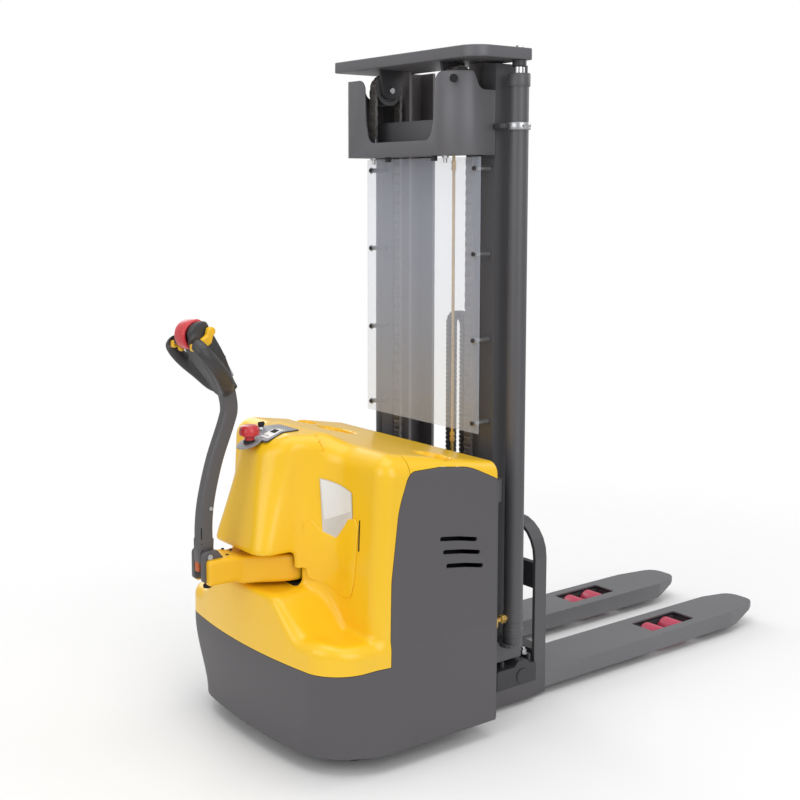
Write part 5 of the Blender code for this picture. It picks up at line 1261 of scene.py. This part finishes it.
def make_standoffs():
    pieces = []
    for side in (-1, 1):
        for z in (0.942, 1.2, 1.465, 1.725):
            x = side * 0.264
            pieces.append(rod("sleeve", 0.0076, (x, -0.244, z), (x, -0.3002, z), ZINC, 20))
            pieces.append(rod("washer", 0.0105, (x, -0.3056, z), (x, -0.3072, z), ZINC, 24))
            pieces.append(rod("head", 0.0072, (x, -0.3072, z), (x, -0.3118, z), MAST_DARK, 20))
            pieces.append(rod("socket", 0.0036, (x, -0.3118, z), (x, -0.3121, z), SHADOW, 6))
    place(join("guard_standoffs", pieces), "chassis", "bright_steel")


def make_fixings():
    pieces = []
    for side in (-1, 1):
        for y in (-0.2, -0.082):
            x = side * 0.267
            pieces.append(post(rod, "bolt_washer", 0.0135, x, y, 0.1565, 0.1585, ZINC, sides=24))
            pieces.append(post(hexagon, "bolt_head", 0.011, x, y, 0.1583, 0.169, ZINC))
            pieces.append(post(rod, "bolt_end", 0.0062, x, y, 0.1688, 0.177, STEEL, sides=16))
    place(join("bearing_bolts", pieces), "chassis", "bright_steel")


def make_wheels():
    def caster(suffix):
        w, middle = 0.0225, (0.29, -0.77, 0.075)
        tyre = lathe("tyre", mirrored((0.05, -w + 0.002), (0.066, -w), (0.0715, -w + 0.002), (0.0745, -w + 0.007),
            (0.075, -0.01)), middle, "X", TYRE, 64)
        hub = lathe("hub", mirrored((0.0105, -w + 0.001), (0.018, -w + 0.001), (0.02, -w + 0.004), (0.03, -w + 0.009),
            (0.044, -w + 0.007), (0.0505, -w + 0.001)), middle, "X", GREY, 48)
        bearing = lathe("bearing", mirrored((0, -w), (0.01, -w), (0.0103, -w + 0.001)), middle, "X", STEEL, 32)
        return join("caster_roller" + suffix, [tyre, hub, bearing])

    def loader(name, y):
        def make(suffix):
            w, middle = 0.04, (0.1985, y, 0.04)
            tread = lathe("tread", mirrored((0.029, -w + 0.001), (0.037, -w), (0.0392, -w + 0.0022),
                (0.04, -w + 0.006)), middle, "X", ROLLER, 56)
            core = lathe("core", mirrored((0.0115, -w + 0.002), (0.016, -w + 0.001), (0.017, -w + 0.004),
                (0.0255, -w + 0.004), (0.027, -w + 0.0012), (0.0294, -w + 0.0012)), middle, "X", ZINC, 40)
            return join("load_wheel_" + name + suffix, [tread, core])
        return make

    pair(caster, "caster_wheel_SIDE", "black_tyre", ["caster_wheel_SIDE"])
    for name, y in (("front", 0.734), ("rear", 0.632)):
        pair(loader(name, y), "load_roller_%s_SIDE" % name, "polyurethane", ["load_roller_%s_SIDE" % name])
    w, middle = 0.035, (0, STEER_Y, 0.105)
    tread = lathe("tread", mirrored((0.078, -w + 0.001), (0.098, -w), (0.103, -w + 0.003), (0.105, -w + 0.01)),
        middle, "X", TYRE, 72)
    rim = lathe("rim", mirrored((0, -w + 0.006), (0.022, -w + 0.006), (0.024, -w + 0.012), (0.062, -w + 0.012),
        (0.068, -w + 0.002), (0.0785, -w + 0.002)), middle, "X", MAST, 56)
    ring = [(STEER_Y + 0.044 * cos(k * pi / 2.5), 0.105 + 0.044 * sin(k * pi / 2.5)) for k in range(5)]
    studs = [rod("stud", 0.006, (0.0, y, z), (w - 0.0075, y, z), ZINC, 6) for y, z in ring]
    place(join("drive_tyre", [tread, rim] + studs), "drive_wheel", "black_tyre", ["drive_wheel"])


pair(make_cylinder, "chassis", "mast_grey", ["lift_cylinder_SIDE"])
pair(make_rod, "inner_mast", "bright_steel", ["piston_rod_SIDE"])
pair(make_band, "chassis", "bright_steel", ["cylinder_band_SIDE"])
pair(make_pulley, "chain_pulley_SIDE", "mast_grey", ["chain_pulley_SIDE"])
make_pipe()
make_carrier()
make_chains()
make_top_plate()
make_bracket()
make_standoffs()
make_fixings()
make_wheels()


# --- floor, light and camera
def stage():
    bpy.ops.mesh.primitive_plane_add(size=40, location=(0, 0, 0))
    floor = bpy.context.object
    floor.name = "floor"
    finish = bpy.data.materials.new("floor_white")
    finish.use_nodes = True
    tree = finish.node_tree
    shader = tree.nodes["Principled BSDF"]
    shader.inputs["Roughness"].default_value = 0.9
    shader.inputs["Specular IOR Level"].default_value = 0.1
    noise = add(tree, "TexNoise", Scale=3)
    ramp = add(tree, "ValToRGB")
    ramp.color_ramp.elements[0].color = (0.9, 0.9, 0.9, 1)
    ramp.color_ramp.elements[1].color = (0.93, 0.93, 0.93, 1)
    tree.links.new(noise.outputs["Fac"], ramp.inputs["Fac"])
    tree.links.new(ramp.outputs["Color"], shader.inputs["Base Color"])
    spot = add(tree, "TexCoord")
    far = add(tree, "VectorMath")
    far.operation = "LENGTH"
    tree.links.new(spot.outputs["Object"], far.inputs[0])
    fade = add(tree, "MapRange", From_Min=1.3, From_Max=3.2, To_Min=1.0, To_Max=0.0)
    fade.interpolation_type = "SMOOTHSTEP"
    tree.links.new(far.outputs["Value"], fade.inputs["Value"])
    tree.links.new(fade.outputs["Result"], shader.inputs["Alpha"])
    floor.data.materials.append(finish)

    def lamp(name, spot, target, size, power):
        data = bpy.data.lights.new(name, "AREA")
        data.shape = "RECTANGLE"
        data.size, data.size_y = size
        data.energy = power
        item = linked(name, data)
        item.location = spot
        item.rotation_euler = (Vector(target) - Vector(spot)).to_track_quat("-Z", "Y").to_euler()

    for row in (("overhead", (0.3, -0.8, 4.6), (0, -0.3, 0.6), (4.0, 4.0), 78), ("right", (4.4, -1.0, 2.6),
            (0, -0.3, 0.9), (2.6, 3.0), 58), ("front", (0.6, -5.0, 2.4), (0, -0.3, 0.8), (3.0, 2.6), 44), ("left",
            (-4.2, 0.2, 2.4), (0, 0, 0.9), (2.4, 2.8), 46), ("back", (0.6, 4.4, 2.8), (0, 0, 0.8), (3.0, 2.6), 42)):
        lamp(*row)
    world = bpy.data.worlds.new("studio")
    bpy.context.scene.world = world
    world.use_nodes = True
    tree = world.node_tree
    tree.nodes.clear()
    output = add(tree, "OutputWorld")
    soft = add(tree, "Background", Color=(1, 1, 1, 1), Strength=0.56)
    white = add(tree, "Background", Color=(1, 1, 1, 1), Strength=1.0)
    path = add(tree, "LightPath")
    mix = add(tree, "MixShader")
    tree.links.new(path.outputs["Is Camera Ray"], mix.inputs["Fac"])
    tree.links.new(soft.outputs["Background"], mix.inputs[1])
    tree.links.new(white.outputs["Background"], mix.inputs[2])
    tree.links.new(mix.outputs["Shader"], output.inputs["Surface"])
    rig.stage(floor)

    data = bpy.data.cameras.new("camera")
    data.sensor_width = 36
    data.lens = 56.47
    data.shift_x = 0.01875
    data.shift_y = -0.0875
    camera = linked("camera", data)
    camera.location = at(3.1622, -2.8209, 1.6554)
    camera.rotation_euler = (radians(83.7), 0, radians(53.1))
    bpy.context.scene.camera = camera
    bpy.context.scene.view_settings.view_transform = "Standard"


stage()
low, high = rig.bounds()
with open("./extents.json", "w") as out:
    json.dump({"cad": [list(CAD_LOW), list(CAD_HIGH)], "scene": [list(low), list(high)]}, out)
